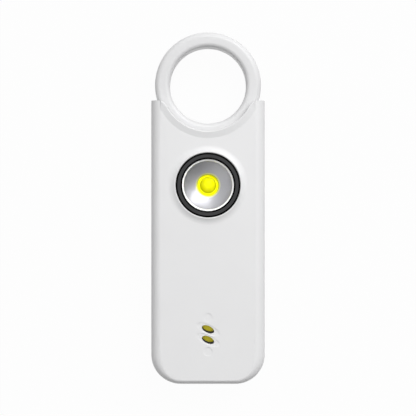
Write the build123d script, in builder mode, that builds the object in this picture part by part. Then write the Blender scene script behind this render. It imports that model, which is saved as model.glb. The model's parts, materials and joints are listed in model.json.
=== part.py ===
from build123d import *
from math import asin, atan, cos, degrees, radians, sin, sqrt
import os

# Personal safety alarm: a slim white body with a torch and two sound holes in its face, and a
# pull ring that stands in a cradle at its upper end. Pulling the ring draws its tongue out of a
# leaf switch, and the siren sounds.
#
# The alarm lies on its flat back. X is its width, Y its length with the ring at +Y, and Z its
# thickness. The origin is under the middle of the whole alarm, on the surface that it lies on.
# All lengths are in millimetres.

# Body
BODY_WIDTH = 32.0
BODY_LENGTH = 79.8
BODY_DEPTH = 12.4
CORNER_RADIUS = 8.3
SIDE_ROUND = 3.0
END_ROUND = 1.35
ROUND_DEPTH = 3.2
WALL = 1.5
SEAM = 0.2
# The rounded edge is lofted through slices at these turns of its quarter circle, in degrees
ROUND_TURNS = (0, 18, 36, 54, 72, 90)

# Joint between the two shells
JOINT_WIDTH = 0.7
JOINT_HEIGHT = 0.9
SHELL_FIT = 0.05

# Pull ring
RING_OUTER_RADIUS = 14.95
RING_BAR_WIDTH = 4.15
RING_THICKNESS = 8.6
RING_OUTER_ROUND = 1.5
RING_EYE_ROUND = 1.2
RING_ROUND_SHARE = 0.4
RING_RISE = 4.4

# Cradle that the ring stands in
CRADLE_LIP_COVER = 1.95
CRADLE_CLEARANCE = 0.2
RING_SIDE_CLEARANCE = 0.3
SHOULDER_ROUND = 3.0
BAND_WIDTH = 2.0
BAND_RISE = 0.45
LIP_ROUND = 0.3
CAVITY_DROP = 7.3

# Tongue of the ring
TONGUE_WIDTH = 7.0
TONGUE_THICKNESS = 1.8
TONGUE_LENGTH = 13.85
TONGUE_TIP_LENGTH = 3.4
TONGUE_TIP_THICKNESS = 1.0
TONGUE_RAMP = 0.8
TONGUE_ROOT = 2.0
TONGUE_SIDE_CLEARANCE = 0.15
TONGUE_FACE_CLEARANCE = 0.1

# Retaining clip and the ribs that hold it
CLIP_METAL = 0.4
CLIP_LENGTH = 4.5
CLIP_TOP_GAP = 1.6
CLIP_CLEARANCE = 0.1
RIB_THICKNESS = 1.0

# Torch
TORCH_DROP = 28.2
COLLAR_TOP_RADIUS = 9.4
COLLAR_FOOT_RADIUS = 11.3
COLLAR_RISE = 0.6
COLLAR_BEVEL = 0.15
BEZEL_RADIUS = 9.05
BEZEL_OPENING_RADIUS = 7.25
BEZEL_FIT = 0.05
BEZEL_RECESS = 0.05
BEZEL_LIP = 0.75
BEZEL_ROUND = 0.3
BEZEL_FLANGE_WIDTH = 0.95
BEZEL_FLANGE_THICKNESS = 0.6
LENS_RADIUS = 8.0
LENS_FIT = 0.1
LENS_THICKNESS = 0.8
REFLECTOR_MOUTH_RADIUS = 6.83
REFLECTOR_NECK_RADIUS = 3.1
REFLECTOR_WALL = 0.6
REFLECTOR_FLANGE = 0.5
REFLECTOR_NECK_HEIGHT = 1.6

# Light-emitting diode
LED_BASE_SIDE = 4.4
LED_BASE_CORNER = 0.5
LED_BASE_HEIGHT = 0.6
LED_DISC_RADIUS = 3.0
LED_DISC_HEIGHT = 0.25
LED_DOME_RADIUS = 2.2
LED_DOME_HEIGHT = 1.3

# Sound holes
SOUND_HEIGHT = 14.05
SOUND_PITCH = 2.97
SOUND_HOLE_HALF_LENGTH = 1.85
SOUND_HOLE_HALF_WIDTH = 1.0
SOUND_DISH_HALF_LENGTH = 3.5
SOUND_DISH_HALF_WIDTH = 1.35
SOUND_DISH_DEPTH = 0.15
SOUND_TILT = -25
DIMPLE_RADIUS = 1.24
DIMPLE_DEPTH = 0.12
DIMPLE_SPREAD = 4.75

# Sounder
PIEZO_RADIUS = 10.0
PIEZO_PLATE_THICKNESS = 0.25
CERAMIC_RADIUS = 7.0
CERAMIC_THICKNESS = 0.2
SEAT_WIDTH = 1.2
SEAT_OVERLAP = 0.6
SEAT_HEIGHT = 1.0
ADHESIVE_THICKNESS = 0.3
GASKET_THICKNESS = 0.6
GASKET_EDGE_GAP = 0.1
GASKET_HOLE_SHIFT = 0.45

# Coin cells and their well
CELL_RADIUS = 10.0
CELL_HEIGHT = 3.2
CELL_CAP_RADIUS = 8.6
CELL_CAP_STEP = 0.3
CELL_ROUND = 0.25
WELL_CLEARANCE = 0.15
WELL_WALL = 0.85
WELL_TOP_GAP = 0.8
CELL_LEDGE_HEIGHT = 0.9
CELL_LEDGE_WIDTH = 1.6

# Contacts of the cells
CONTACT_METAL = 0.3
NEGATIVE_WIDTH = 5.0
NEGATIVE_LENGTH = 10.0
NEGATIVE_EAR_REACH = 7.4
NEGATIVE_EAR_LENGTH = 3.0
POSITIVE_WIDTH = 3.0
POSITIVE_OFFSET = 5.0
POSITIVE_REACH = 4.5
CONTACT_GAP = 0.05
CONTACT_PAD = 2.0
POSITIVE_FOOT = 1.5

# Circuit board
BOARD_HALF_WIDTH = 9.6
BOARD_BELOW_TORCH = 7.0
BOARD_ABOVE_TORCH = 10.8
BOARD_THICKNESS = 1.0
BOARD_LIFT = 0.6
BOARD_CORNER = 0.8

# Parts on the board
CHIP_WIDTH = 3.3
CHIP_LENGTH = 4.9
CHIP_HEIGHT = 1.5
CHIP_OFFSET = 7.0
PIN_COUNT = 4
PIN_PITCH = 1.27
PIN_WIDTH = 0.4
PIN_REACH = 0.7
PIN_THICKNESS = 0.25
TRANSISTOR_WIDTH = 2.9
TRANSISTOR_LENGTH = 1.3
TRANSISTOR_HEIGHT = 1.0
TRANSISTOR_RISE = 5.3
CHOKE_RADIUS = 2.1
CHOKE_CORE_RADIUS = 1.1
CHOKE_HEIGHT = 3.8
CHOKE_FLANGE = 0.6
WINDING_RADIUS = 1.8
CHIP_PART_LENGTH = 1.6
CHIP_PART_WIDTH = 0.8
RESISTOR_HEIGHT = 0.45
CAPACITOR_HEIGHT = 0.8
CHIP_PART_PITCH = 1.6
CHIP_PART_INSET = 3.0
RESISTOR_COUNT = 3
CAPACITOR_COUNT = 2

# Leaf switch
LEAF_WIDTH = 3.0
LEAF_METAL = 0.2
LEAF_LENGTH = 6.8
LEAF_OVERLAP = 3.0
LEAF_KINK = 0.7
LEAF_KINK_RISE = 0.2
LEAF_CLEARANCE = 0.2
LEAF_ROOT_GAP = 0.1
TERMINAL_LENGTH = 1.7
BRIDGE_METAL = 0.4
BRIDGE_LENGTH = 1.6
BRIDGE_OVERLAP = 2.0
BRIDGE_SIDE_CLEARANCE = 0.3
BRIDGE_FACE_CLEARANCE = 0.1

# Screws
LOWER_SCREW_INSET = 5.4
UPPER_SCREW_INSET = 4.8
UPPER_SCREW_DROP = 10.6
SCREW_RADIUS = 0.8
SCREW_FIT = 0.05
SCREW_PASS_RADIUS = 1.0
SCREW_HEAD_RADIUS = 1.6
SCREW_HEAD_HEIGHT = 1.0
SCREW_HEAD_FIT = 0.15
SCREW_HEAD_DEPTH = 0.9
SCREW_SLOT_WIDTH = 0.4
SCREW_SLOT_DEPTH = 0.45
HOUSING_SCREW_LENGTH = 8.0
FRONT_POST_RADIUS = 2.0
REAR_POST_RADIUS = 2.4
BOARD_SCREW_LENGTH = 3.4
BOARD_SCREW_INSET = 1.5
BOARD_SCREW_TOP_INSET = 2.0
BOARD_POST_RADIUS = 1.7
PILOT_EXTRA = 0.3

# Wires
WIRE_RADIUS = 0.45
WIRE_BEND = 1.6
WIRE_WALL_GAP = 1.7
SOLDER_RADIUS = 0.7

# Cutting shapes run past the faces that they cut by this much
OVERRUN = 1.0

# Places worked out from the sizes above
overall_length = BODY_LENGTH + RING_RISE + RING_OUTER_RADIUS
foot_y = -overall_length / 2
shoulder_y = foot_y + BODY_LENGTH
ring_y = shoulder_y + RING_RISE
torch_y = ring_y - TORCH_DROP
sound_y = foot_y + SOUND_HEIGHT
parting_z = BODY_DEPTH / 2
front_inner_z = BODY_DEPTH - WALL
half_width = BODY_WIDTH / 2
inner_half_width = half_width - WALL

cradle_lip_radius = RING_OUTER_RADIUS - CRADLE_LIP_COVER
slot_radius = RING_OUTER_RADIUS + CRADLE_CLEARANCE
slot_half_depth = RING_THICKNESS / 2 + RING_SIDE_CLEARANCE
slot_wall_radius = slot_radius + WALL
cavity_top_y = shoulder_y - CAVITY_DROP

tongue_top_z = parting_z - TONGUE_FACE_CLEARANCE
tongue_bottom_z = tongue_top_z - TONGUE_THICKNESS
tongue_step_z = tongue_top_z - TONGUE_TIP_THICKNESS
tongue_tip_y = ring_y - RING_OUTER_RADIUS - TONGUE_LENGTH

board_rear_z = parting_z + BOARD_LIFT
board_front_z = board_rear_z + BOARD_THICKNESS
board_low_y = torch_y - BOARD_BELOW_TORCH
board_high_y = torch_y + BOARD_ABOVE_TORCH

seat_outer_radius = PIEZO_RADIUS + SEAT_WIDTH - SEAT_OVERLAP
seat_inner_radius = PIEZO_RADIUS - SEAT_OVERLAP
seat_z = front_inner_z - SEAT_HEIGHT
plate_front_z = seat_z - ADHESIVE_THICKNESS
plate_rear_z = plate_front_z - PIEZO_PLATE_THICKNESS
ceramic_rear_z = plate_rear_z - CERAMIC_THICKNESS

well_inner_radius = CELL_RADIUS + WELL_CLEARANCE
well_outer_radius = well_inner_radius + WELL_WALL
cell_y = (sound_y + seat_outer_radius + board_low_y) / 2
cell_rear_z = WALL + CELL_LEDGE_HEIGHT
cell_front_z = cell_rear_z + 2 * CELL_HEIGHT
slot_front_z = parting_z + slot_half_depth

bezel_front_z = BODY_DEPTH + COLLAR_RISE - BEZEL_RECESS
lens_front_z = bezel_front_z - BEZEL_LIP
lens_rear_z = lens_front_z - LENS_THICKNESS
bezel_flange_radius = BEZEL_RADIUS + BEZEL_FLANGE_WIDTH

clip_high_y = ring_y - slot_wall_radius - CLIP_TOP_GAP
clip_low_y = clip_high_y - CLIP_LENGTH
clip_leg_x = TONGUE_WIDTH / 2 + CLIP_CLEARANCE

leaf_rear_z = tongue_top_z + LEAF_CLEARANCE
leaf_end_y = tongue_tip_y + LEAF_OVERLAP
leaf_root_y = leaf_end_y - LEAF_LENGTH
bridge_y = tongue_tip_y + BRIDGE_OVERLAP
bridge_front_z = tongue_step_z - BRIDGE_FACE_CLEARANCE

screw_x = half_width - LOWER_SCREW_INSET
upper_screw_x = half_width - UPPER_SCREW_INSET
screw_places = [(side * screw_x, foot_y + LOWER_SCREW_INSET) for side in (-1, 1)]
screw_places += [(side * upper_screw_x, shoulder_y - UPPER_SCREW_DROP) for side in (-1, 1)]
board_screw_x = BOARD_HALF_WIDTH - BOARD_SCREW_INSET
board_screw_places = [(side * board_screw_x, board_high_y - BOARD_SCREW_TOP_INSET) for side in (-1, 1)]

parting_plane = Plane.XY.offset(parting_z)
torch_axis = Axis((0, torch_y, 0), (0, 0, 1))
torch_section = Plane.XZ.offset(-torch_y)

os.makedirs("parts", exist_ok=True)


def write_piece(part, label):
    """Name a finished piece and write its file."""
    part.label = label
    export_step(part, f"parts/{label}.step")


def body_slice(side_inset, end_inset, top_y, z):
    """The body's outline at one height: straight sides and elliptical lower corners."""
    corner_x = half_width - CORNER_RADIUS
    corner_y = foot_y + CORNER_RADIUS
    reach_x = CORNER_RADIUS - side_inset
    reach_y = CORNER_RADIUS - end_inset
    side_x = half_width - side_inset
    with BuildSketch(Plane.XY.offset(z)) as outline:
        with BuildLine():
            left = EllipticalCenterArc((-corner_x, corner_y), reach_x, reach_y, 180, arc_size=90)
            right = EllipticalCenterArc((corner_x, corner_y), reach_x, reach_y, 270, arc_size=90)
            Line(left @ 1, right @ 0)
            Polyline(right @ 1, (side_x, top_y), (-side_x, top_y), left @ 0)
        make_face()
    return outline.sketch


def half_block():
    """Front half of the body's block, with its face edge rounded to a quarter ellipse."""
    straight_z = BODY_DEPTH - ROUND_DEPTH
    slices = []
    for turn in ROUND_TURNS:
        drawn_in = 1 - cos(radians(turn))
        z = straight_z + ROUND_DEPTH * sin(radians(turn))
        slices.append(body_slice(SIDE_ROUND * drawn_in, END_ROUND * drawn_in, shoulder_y, z))
    with BuildPart() as block:
        extrude(body_slice(0, 0, shoulder_y, parting_z), amount=straight_z - parting_z)
        loft(sections=slices)
    return block.part


def cavity_outline(wall, z):
    """Outline of the inside at one height, which stops short of the ring's slot by the wall."""
    with BuildSketch(Plane.XY.offset(z)) as outline:
        add(body_slice(wall, wall, cavity_top_y + WALL - wall, 0))
        with Locations((0, ring_y)):
            Circle(slot_radius + wall, mode=Mode.SUBTRACT)
    return outline.sketch


def joint_outline(width, z):
    """The strip of the wall beside the hollow that the joint between the shells takes."""
    with BuildSketch(Plane.XY.offset(z)) as outline:
        add(cavity_outline(WALL - width, 0))
        add(cavity_outline(WALL, 0), mode=Mode.SUBTRACT)
    return outline.sketch


def half_cavity():
    """The hollow in one half of the body, with its face edge bevelled to follow the rounding."""
    straight_z = BODY_DEPTH - ROUND_DEPTH
    foot_slice = body_slice(WALL, WALL, cavity_top_y, straight_z)
    face_slice = body_slice(max(SIDE_ROUND, WALL), max(END_ROUND, WALL), cavity_top_y, front_inner_z)
    with BuildPart() as hollow:
        extrude(body_slice(WALL, WALL, cavity_top_y, parting_z), amount=straight_z - parting_z)
        loft(sections=[foot_slice, face_slice], ruled=True)
        with BuildSketch(parting_plane):
            with Locations((0, ring_y)):
                Circle(slot_wall_radius)
        extrude(amount=BODY_DEPTH, mode=Mode.SUBTRACT)
    return hollow.part


def cradle_outline(z):
    """What is cut from a lip of the cradle: the round opening and the rounded shoulders."""
    with BuildSketch(Plane.XY.offset(z)) as outline:
        with Locations((0, ring_y)):
            Circle(cradle_lip_radius)
        with Locations((0, shoulder_y)):
            Rectangle(
                BODY_WIDTH + 2 * RING_OUTER_RADIUS,
                RING_RISE + RING_OUTER_RADIUS,
                align=(Align.CENTER, Align.MIN),
            )
        inner_corners = outline.vertices().filter_by_position(Axis.Y, shoulder_y - SEAM, shoulder_y + SEAM)
        fillet(inner_corners.sort_by(Axis.X)[1:3], SHOULDER_ROUND)
    return outline.sketch


def raised_band():
    """The band along the front shell's upper edge, which rises towards the edge between the sides."""
    round_lean = degrees(asin((RING_RISE + SHOULDER_ROUND) / (cradle_lip_radius + SHOULDER_ROUND)))
    round_x = (cradle_lip_radius + SHOULDER_ROUND) * cos(radians(round_lean))
    round_y = shoulder_y - SHOULDER_ROUND
    start_x = half_width + RING_OUTER_RADIUS
    with BuildPart() as band:
        with BuildLine(Plane.XY):
            Line((-start_x, shoulder_y), (-round_x, shoulder_y))
            CenterArc((-round_x, round_y), SHOULDER_ROUND, 90, round_lean - 90)
            CenterArc((0, ring_y), cradle_lip_radius, 180 + round_lean, 180 - 2 * round_lean)
            CenterArc((round_x, round_y), SHOULDER_ROUND, 180 - round_lean, round_lean - 90)
            Line((round_x, shoulder_y), (start_x, shoulder_y))
        with BuildSketch(
            Plane(origin=(-start_x, shoulder_y, 0), x_dir=(0, -1, 0), z_dir=(-1, 0, 0))
        ) as section:
            with BuildLine():
                Polyline(
                    (0, slot_front_z),
                    (BAND_WIDTH, slot_front_z),
                    (BAND_WIDTH, BODY_DEPTH),
                    (0, BODY_DEPTH + BAND_RISE),
                    close=True,
                )
            make_face()
            fillet(section.vertices().sort_by(Axis.Z)[-1], LIP_ROUND)
        sweep()
        # Its ends fall away at 45 degrees where the rounding of the sides begins
        flat_x = half_width - SIDE_ROUND
        with BuildSketch(Plane.XZ):
            with BuildLine():
                Polyline(
                    (-flat_x - BAND_RISE, slot_front_z),
                    (-flat_x - BAND_RISE, BODY_DEPTH),
                    (-flat_x, BODY_DEPTH + BAND_RISE),
                    (flat_x, BODY_DEPTH + BAND_RISE),
                    (flat_x + BAND_RISE, BODY_DEPTH),
                    (flat_x + BAND_RISE, slot_front_z),
                    close=True,
                )
            make_face()
        extrude(amount=overall_length, both=True, mode=Mode.INTERSECT)
    return band.part


with BuildPart() as front_shell:
    add(half_block())
    chamfer(front_shell.faces().sort_by(Axis.Z)[0].edges(), SEAM)
    add(raised_band())
    add(half_cavity(), mode=Mode.SUBTRACT)
    # Collar round the torch, which rises from the face in a cove
    with BuildSketch(Plane.XZ.offset(-torch_y)):
        with BuildLine():
            collar_foot = (COLLAR_FOOT_RADIUS, BODY_DEPTH)
            collar_top = (COLLAR_TOP_RADIUS, BODY_DEPTH + COLLAR_RISE)
            Polyline(collar_top, (0, BODY_DEPTH + COLLAR_RISE), (0, BODY_DEPTH), collar_foot)
            TangentArc(collar_foot, collar_top, tangent=(-1, 0))
        make_face()
    revolve(axis=Axis((0, torch_y, 0), (0, 0, 1)))
    with BuildSketch(Plane.XY.offset(front_inner_z - OVERRUN)):
        with Locations((0, torch_y)):
            Circle(BEZEL_RADIUS + BEZEL_FIT)
    extrude(amount=BODY_DEPTH, mode=Mode.SUBTRACT)
    with Locations((0, torch_y, BODY_DEPTH + COLLAR_RISE)):
        Cone(
            BEZEL_RADIUS + BEZEL_FIT,
            BEZEL_RADIUS + BEZEL_FIT + COLLAR_BEVEL,
            COLLAR_BEVEL,
            align=(Align.CENTER, Align.CENTER, Align.MAX),
            mode=Mode.SUBTRACT,
        )
    # Slot for the ring, and the round opening of the lip in front of it
    with BuildSketch(parting_plane):
        with Locations((0, ring_y)):
            Circle(slot_radius)
    extrude(amount=slot_half_depth, mode=Mode.SUBTRACT)
    extrude(cradle_outline(parting_z), amount=BODY_DEPTH, mode=Mode.SUBTRACT)
    # Dished sound holes
    for step in (-1, 1):
        hole_y = sound_y + step * SOUND_PITCH / 2
        with BuildSketch(Plane.XY.offset(BODY_DEPTH)) as dish_top:
            with Locations((0, hole_y)):
                Ellipse(SOUND_DISH_HALF_LENGTH, SOUND_DISH_HALF_WIDTH, rotation=SOUND_TILT)
        with BuildSketch(Plane.XY.offset(BODY_DEPTH - SOUND_DISH_DEPTH)) as dish_floor:
            with Locations((0, hole_y)):
                Ellipse(SOUND_HOLE_HALF_LENGTH, SOUND_HOLE_HALF_WIDTH, rotation=SOUND_TILT)
        loft(sections=[dish_top.sketch, dish_floor.sketch], mode=Mode.SUBTRACT)
        extrude(dish_floor.sketch, amount=-WALL, mode=Mode.SUBTRACT)
    # Blind dimples above and below the sound holes
    with BuildSketch(Plane.XY.offset(BODY_DEPTH)):
        with Locations((0, sound_y - DIMPLE_SPREAD), (0, sound_y + DIMPLE_SPREAD)):
            Circle(DIMPLE_RADIUS)
    extrude(amount=-DIMPLE_DEPTH, mode=Mode.SUBTRACT)
    # Seat of the sounder
    with BuildSketch(Plane.XY.offset(seat_z)):
        with Locations((0, sound_y)):
            Circle(seat_outer_radius)
            Circle(seat_inner_radius, mode=Mode.SUBTRACT)
    extrude(amount=SEAT_HEIGHT)
    # Posts for the housing screws and the board screws
    with BuildSketch(parting_plane):
        with Locations(*screw_places):
            Circle(FRONT_POST_RADIUS)
    extrude(amount=front_inner_z - parting_z)
    with BuildSketch(Plane.XY.offset(board_front_z)):
        with Locations(*board_screw_places):
            Circle(BOARD_POST_RADIUS)
    extrude(amount=front_inner_z - board_front_z)
    housing_pilot_top_z = SCREW_HEAD_DEPTH + SCREW_HEAD_HEIGHT + HOUSING_SCREW_LENGTH + PILOT_EXTRA
    board_pilot_top_z = board_rear_z + BOARD_SCREW_LENGTH + PILOT_EXTRA
    with BuildSketch(parting_plane):
        with Locations(*screw_places):
            Circle(SCREW_RADIUS + SCREW_FIT)
    extrude(amount=housing_pilot_top_z - parting_z, mode=Mode.SUBTRACT)
    with BuildSketch(Plane.XY.offset(board_front_z)):
        with Locations(*board_screw_places):
            Circle(SCREW_RADIUS + SCREW_FIT)
    extrude(amount=board_pilot_top_z - board_front_z, mode=Mode.SUBTRACT)
    # Rebate that takes the rear shell's raised lip
    extrude(
        joint_outline(JOINT_WIDTH, parting_z),
        amount=JOINT_HEIGHT + SHELL_FIT,
        mode=Mode.SUBTRACT,
    )
write_piece(front_shell.part, "front_shell")


with BuildPart() as rear_shell:
    mirror(half_block(), about=parting_plane)
    chamfer(rear_shell.faces().sort_by(Axis.Z)[-1].edges(), SEAM)
    mirror(half_cavity(), about=parting_plane, mode=Mode.SUBTRACT)
    # Posts for the screws, from the back wall to the parting plane
    with BuildSketch(Plane.XY.offset(WALL)):
        with Locations(*screw_places):
            Circle(REAR_POST_RADIUS)
    extrude(amount=parting_z - WALL)
    # Slot for the ring, and the opening of the lip behind it
    with BuildSketch(parting_plane):
        with Locations((0, ring_y)):
            Circle(slot_radius)
    extrude(amount=-slot_half_depth, mode=Mode.SUBTRACT)
    extrude(cradle_outline(-OVERRUN), amount=parting_z + OVERRUN, mode=Mode.SUBTRACT)
    # Raised lip that locates the front shell
    extrude(joint_outline(JOINT_WIDTH - SHELL_FIT, parting_z), amount=JOINT_HEIGHT)
    # Way in for the ring's tongue, through the slot's wall and the raised lip
    with BuildSketch(Plane.XY.offset(tongue_bottom_z - TONGUE_FACE_CLEARANCE)):
        with Locations((0, ring_y - slot_wall_radius)):
            Rectangle(TONGUE_WIDTH + 2 * TONGUE_SIDE_CLEARANCE, 2 * (WALL + OVERRUN))
    extrude(amount=TONGUE_THICKNESS + 2 * TONGUE_FACE_CLEARANCE + JOINT_HEIGHT, mode=Mode.SUBTRACT)
    # Ribs that hold the retaining clip
    rib_x = clip_leg_x + CLIP_METAL + CONTACT_GAP
    rib_high_y = ring_y - slot_wall_radius + WALL / 2
    with BuildSketch(Plane.XY.offset(WALL)):
        for side in (-1, 1):
            with Locations((side * (rib_x + RIB_THICKNESS / 2), clip_low_y)):
                Rectangle(RIB_THICKNESS, rib_high_y - clip_low_y, align=(Align.CENTER, Align.MIN))
    extrude(amount=tongue_top_z - WALL)
    # Well and ledge of the coin cells
    well_top_z = cell_front_z - WELL_TOP_GAP
    with BuildSketch(Plane.XY.offset(WALL)):
        with Locations((0, cell_y)):
            Circle(well_outer_radius)
            Circle(well_inner_radius, mode=Mode.SUBTRACT)
    extrude(amount=well_top_z - WALL)
    with BuildSketch(Plane.XY.offset(WALL)):
        with Locations((0, cell_y)):
            Circle(well_inner_radius)
            Circle(well_inner_radius - CELL_LEDGE_WIDTH, mode=Mode.SUBTRACT)
    extrude(amount=CELL_LEDGE_HEIGHT)
    # Way out of the well for the positive contact
    with BuildSketch(Plane.XY.offset(WALL)):
        with Locations((POSITIVE_OFFSET, cell_y)):
            Rectangle(
                POSITIVE_WIDTH + 2 * CONTACT_GAP,
                well_outer_radius + OVERRUN,
                align=(Align.CENTER, Align.MIN),
            )
    extrude(amount=CELL_LEDGE_HEIGHT, mode=Mode.SUBTRACT)
    # Screw holes and the recesses of their heads
    with BuildSketch(Plane.XY):
        with Locations(*screw_places):
            Circle(SCREW_PASS_RADIUS)
    extrude(amount=parting_z, mode=Mode.SUBTRACT)
    with BuildSketch(Plane.XY):
        with Locations(*screw_places):
            Circle(SCREW_HEAD_RADIUS + SCREW_HEAD_FIT)
    extrude(amount=SCREW_HEAD_DEPTH + SCREW_HEAD_HEIGHT, mode=Mode.SUBTRACT)
write_piece(rear_shell.part, "rear_shell")


with BuildPart() as pull_ring:
    with BuildSketch(Plane.XZ.offset(-ring_y)) as ring_section:
        with Locations((RING_OUTER_RADIUS - RING_BAR_WIDTH / 2, parting_z)):
            Rectangle(RING_BAR_WIDTH, RING_THICKNESS)
        round_limit = RING_ROUND_SHARE * RING_BAR_WIDTH
        fillet(ring_section.vertices().group_by(Axis.X)[-1], min(RING_OUTER_ROUND, round_limit))
        fillet(ring_section.vertices().group_by(Axis.X)[0], min(RING_EYE_ROUND, round_limit))
    revolve(axis=Axis((0, ring_y, 0), (0, 0, 1)))
    # The tongue is one moulding with the ring
    tongue_root_y = ring_y - RING_OUTER_RADIUS + TONGUE_ROOT
    with BuildSketch(Plane.YZ):
        with BuildLine():
            Polyline(
                (tongue_tip_y, tongue_top_z),
                (tongue_tip_y, tongue_step_z),
                (tongue_tip_y + TONGUE_TIP_LENGTH, tongue_step_z),
                (tongue_tip_y + TONGUE_TIP_LENGTH + TONGUE_RAMP, tongue_bottom_z),
                (tongue_root_y, tongue_bottom_z),
                (tongue_root_y, tongue_top_z),
                close=True,
            )
        make_face()
    extrude(amount=TONGUE_WIDTH / 2, both=True)
write_piece(pull_ring.part, "pull_ring")


with BuildPart() as retaining_clip:
    clip_outer_x = clip_leg_x + CLIP_METAL
    clip_top_z = tongue_top_z - CLIP_CLEARANCE
    with BuildSketch(Plane.XZ.offset(-clip_low_y)):
        with BuildLine():
            Polyline(
                (-clip_outer_x, WALL),
                (clip_outer_x, WALL),
                (clip_outer_x, clip_top_z),
                (clip_leg_x, clip_top_z),
                (clip_leg_x, WALL + CLIP_METAL),
                (-clip_leg_x, WALL + CLIP_METAL),
                (-clip_leg_x, clip_top_z),
                (-clip_outer_x, clip_top_z),
                close=True,
            )
        make_face()
    extrude(amount=-CLIP_LENGTH)
write_piece(retaining_clip.part, "retaining_clip")


with BuildPart() as torch_bezel:
    bezel_pocket_radius = LENS_RADIUS + LENS_FIT
    with BuildSketch(torch_section) as bezel_section:
        with BuildLine():
            Polyline(
                (bezel_pocket_radius, front_inner_z - BEZEL_FLANGE_THICKNESS),
                (bezel_flange_radius, front_inner_z - BEZEL_FLANGE_THICKNESS),
                (bezel_flange_radius, front_inner_z),
                (BEZEL_RADIUS, front_inner_z),
                (BEZEL_RADIUS, bezel_front_z),
                (BEZEL_OPENING_RADIUS, bezel_front_z),
                (BEZEL_OPENING_RADIUS, lens_front_z),
                (bezel_pocket_radius, lens_front_z),
                close=True,
            )
        make_face()
        fillet(bezel_section.vertices().group_by(Axis.Y)[-1], BEZEL_ROUND)
    revolve(axis=torch_axis)
write_piece(torch_bezel.part, "torch_bezel")


with BuildPart() as torch_lens:
    with BuildSketch(Plane.XY.offset(lens_rear_z)):
        with Locations((0, torch_y)):
            Circle(LENS_RADIUS)
    extrude(amount=LENS_THICKNESS)
write_piece(torch_lens.part, "torch_lens")


with BuildPart() as torch_reflector:
    neck_top_z = board_front_z + REFLECTOR_NECK_HEIGHT
    neck_outer_radius = REFLECTOR_NECK_RADIUS + REFLECTOR_WALL
    mouth_outer_radius = REFLECTOR_MOUTH_RADIUS + REFLECTOR_WALL
    flange_rear_z = lens_rear_z - REFLECTOR_FLANGE
    with BuildSketch(torch_section):
        with BuildLine():
            bowl = RadiusArc(
                (REFLECTOR_NECK_RADIUS, neck_top_z),
                (REFLECTOR_MOUTH_RADIUS, lens_rear_z),
                -2 * REFLECTOR_MOUTH_RADIUS,
            )
            back = RadiusArc(
                (neck_outer_radius, neck_top_z - REFLECTOR_FLANGE),
                (mouth_outer_radius, flange_rear_z),
                -2 * REFLECTOR_MOUTH_RADIUS,
            )
            Polyline(bowl @ 1, (LENS_RADIUS, lens_rear_z), (LENS_RADIUS, flange_rear_z), back @ 1)
            Polyline(
                back @ 0,
                (neck_outer_radius, board_front_z),
                (REFLECTOR_NECK_RADIUS, board_front_z),
                bowl @ 0,
            )
        make_face()
    revolve(axis=torch_axis)
write_piece(torch_reflector.part, "torch_reflector")


with BuildPart() as led_base:
    with BuildSketch(Plane.XY.offset(board_front_z)):
        with Locations((0, torch_y)):
            RectangleRounded(LED_BASE_SIDE, LED_BASE_SIDE, LED_BASE_CORNER)
    extrude(amount=LED_BASE_HEIGHT)
write_piece(led_base.part, "led_base")


with BuildPart() as led_dome:
    disc_rear_z = board_front_z + LED_BASE_HEIGHT
    disc_front_z = disc_rear_z + LED_DISC_HEIGHT
    dome_curve = (LED_DOME_RADIUS**2 + LED_DOME_HEIGHT**2) / (2 * LED_DOME_HEIGHT)
    with BuildSketch(torch_section):
        with BuildLine():
            crown = RadiusArc(
                (LED_DOME_RADIUS, disc_front_z), (0, disc_front_z + LED_DOME_HEIGHT), -dome_curve
            )
            Polyline(
                crown @ 1,
                (0, disc_rear_z),
                (LED_DISC_RADIUS, disc_rear_z),
                (LED_DISC_RADIUS, disc_front_z),
                crown @ 0,
            )
        make_face()
    revolve(axis=torch_axis)
write_piece(led_dome.part, "led_dome")


with BuildPart() as circuit_board:
    with BuildSketch(Plane.XY.offset(board_rear_z)):
        with Locations((0, board_low_y)):
            Rectangle(2 * BOARD_HALF_WIDTH, board_high_y - board_low_y, align=(Align.CENTER, Align.MIN))
    extrude(amount=BOARD_THICKNESS)
    fillet(circuit_board.edges().filter_by(Axis.Z), BOARD_CORNER)
    with BuildSketch(Plane.XY.offset(board_rear_z)):
        with Locations(*board_screw_places):
            Circle(SCREW_PASS_RADIUS)
    extrude(amount=BOARD_THICKNESS, mode=Mode.SUBTRACT)
write_piece(circuit_board.part, "circuit_board")


with BuildPart() as controller_chip:
    pin_row_x = (CHIP_WIDTH + PIN_REACH) / 2
    with Locations((-CHIP_OFFSET, torch_y, board_rear_z - PIN_THICKNESS)):
        Box(CHIP_WIDTH, CHIP_LENGTH, CHIP_HEIGHT, align=(Align.CENTER, Align.CENTER, Align.MAX))
    with Locations((-CHIP_OFFSET, torch_y, board_rear_z)):
        with GridLocations(2 * pin_row_x, PIN_PITCH, 2, PIN_COUNT):
            Box(
                PIN_REACH + PIN_WIDTH,
                PIN_WIDTH,
                2 * PIN_THICKNESS,
                align=(Align.CENTER, Align.CENTER, Align.MAX),
            )
write_piece(controller_chip.part, "controller_chip")


transistor_y = torch_y + TRANSISTOR_RISE
chip_part_y = board_low_y + CHIP_PART_INSET
resistor_x = -BOARD_HALF_WIDTH + BOARD_SCREW_INSET

with BuildPart() as driver_transistors:
    with Locations((-CHIP_OFFSET, transistor_y, board_rear_z), (CHIP_OFFSET, transistor_y, board_rear_z)):
        Box(
            TRANSISTOR_WIDTH,
            TRANSISTOR_LENGTH,
            TRANSISTOR_HEIGHT,
            align=(Align.CENTER, Align.CENTER, Align.MAX),
        )
write_piece(driver_transistors.part, "driver_transistors")


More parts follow.
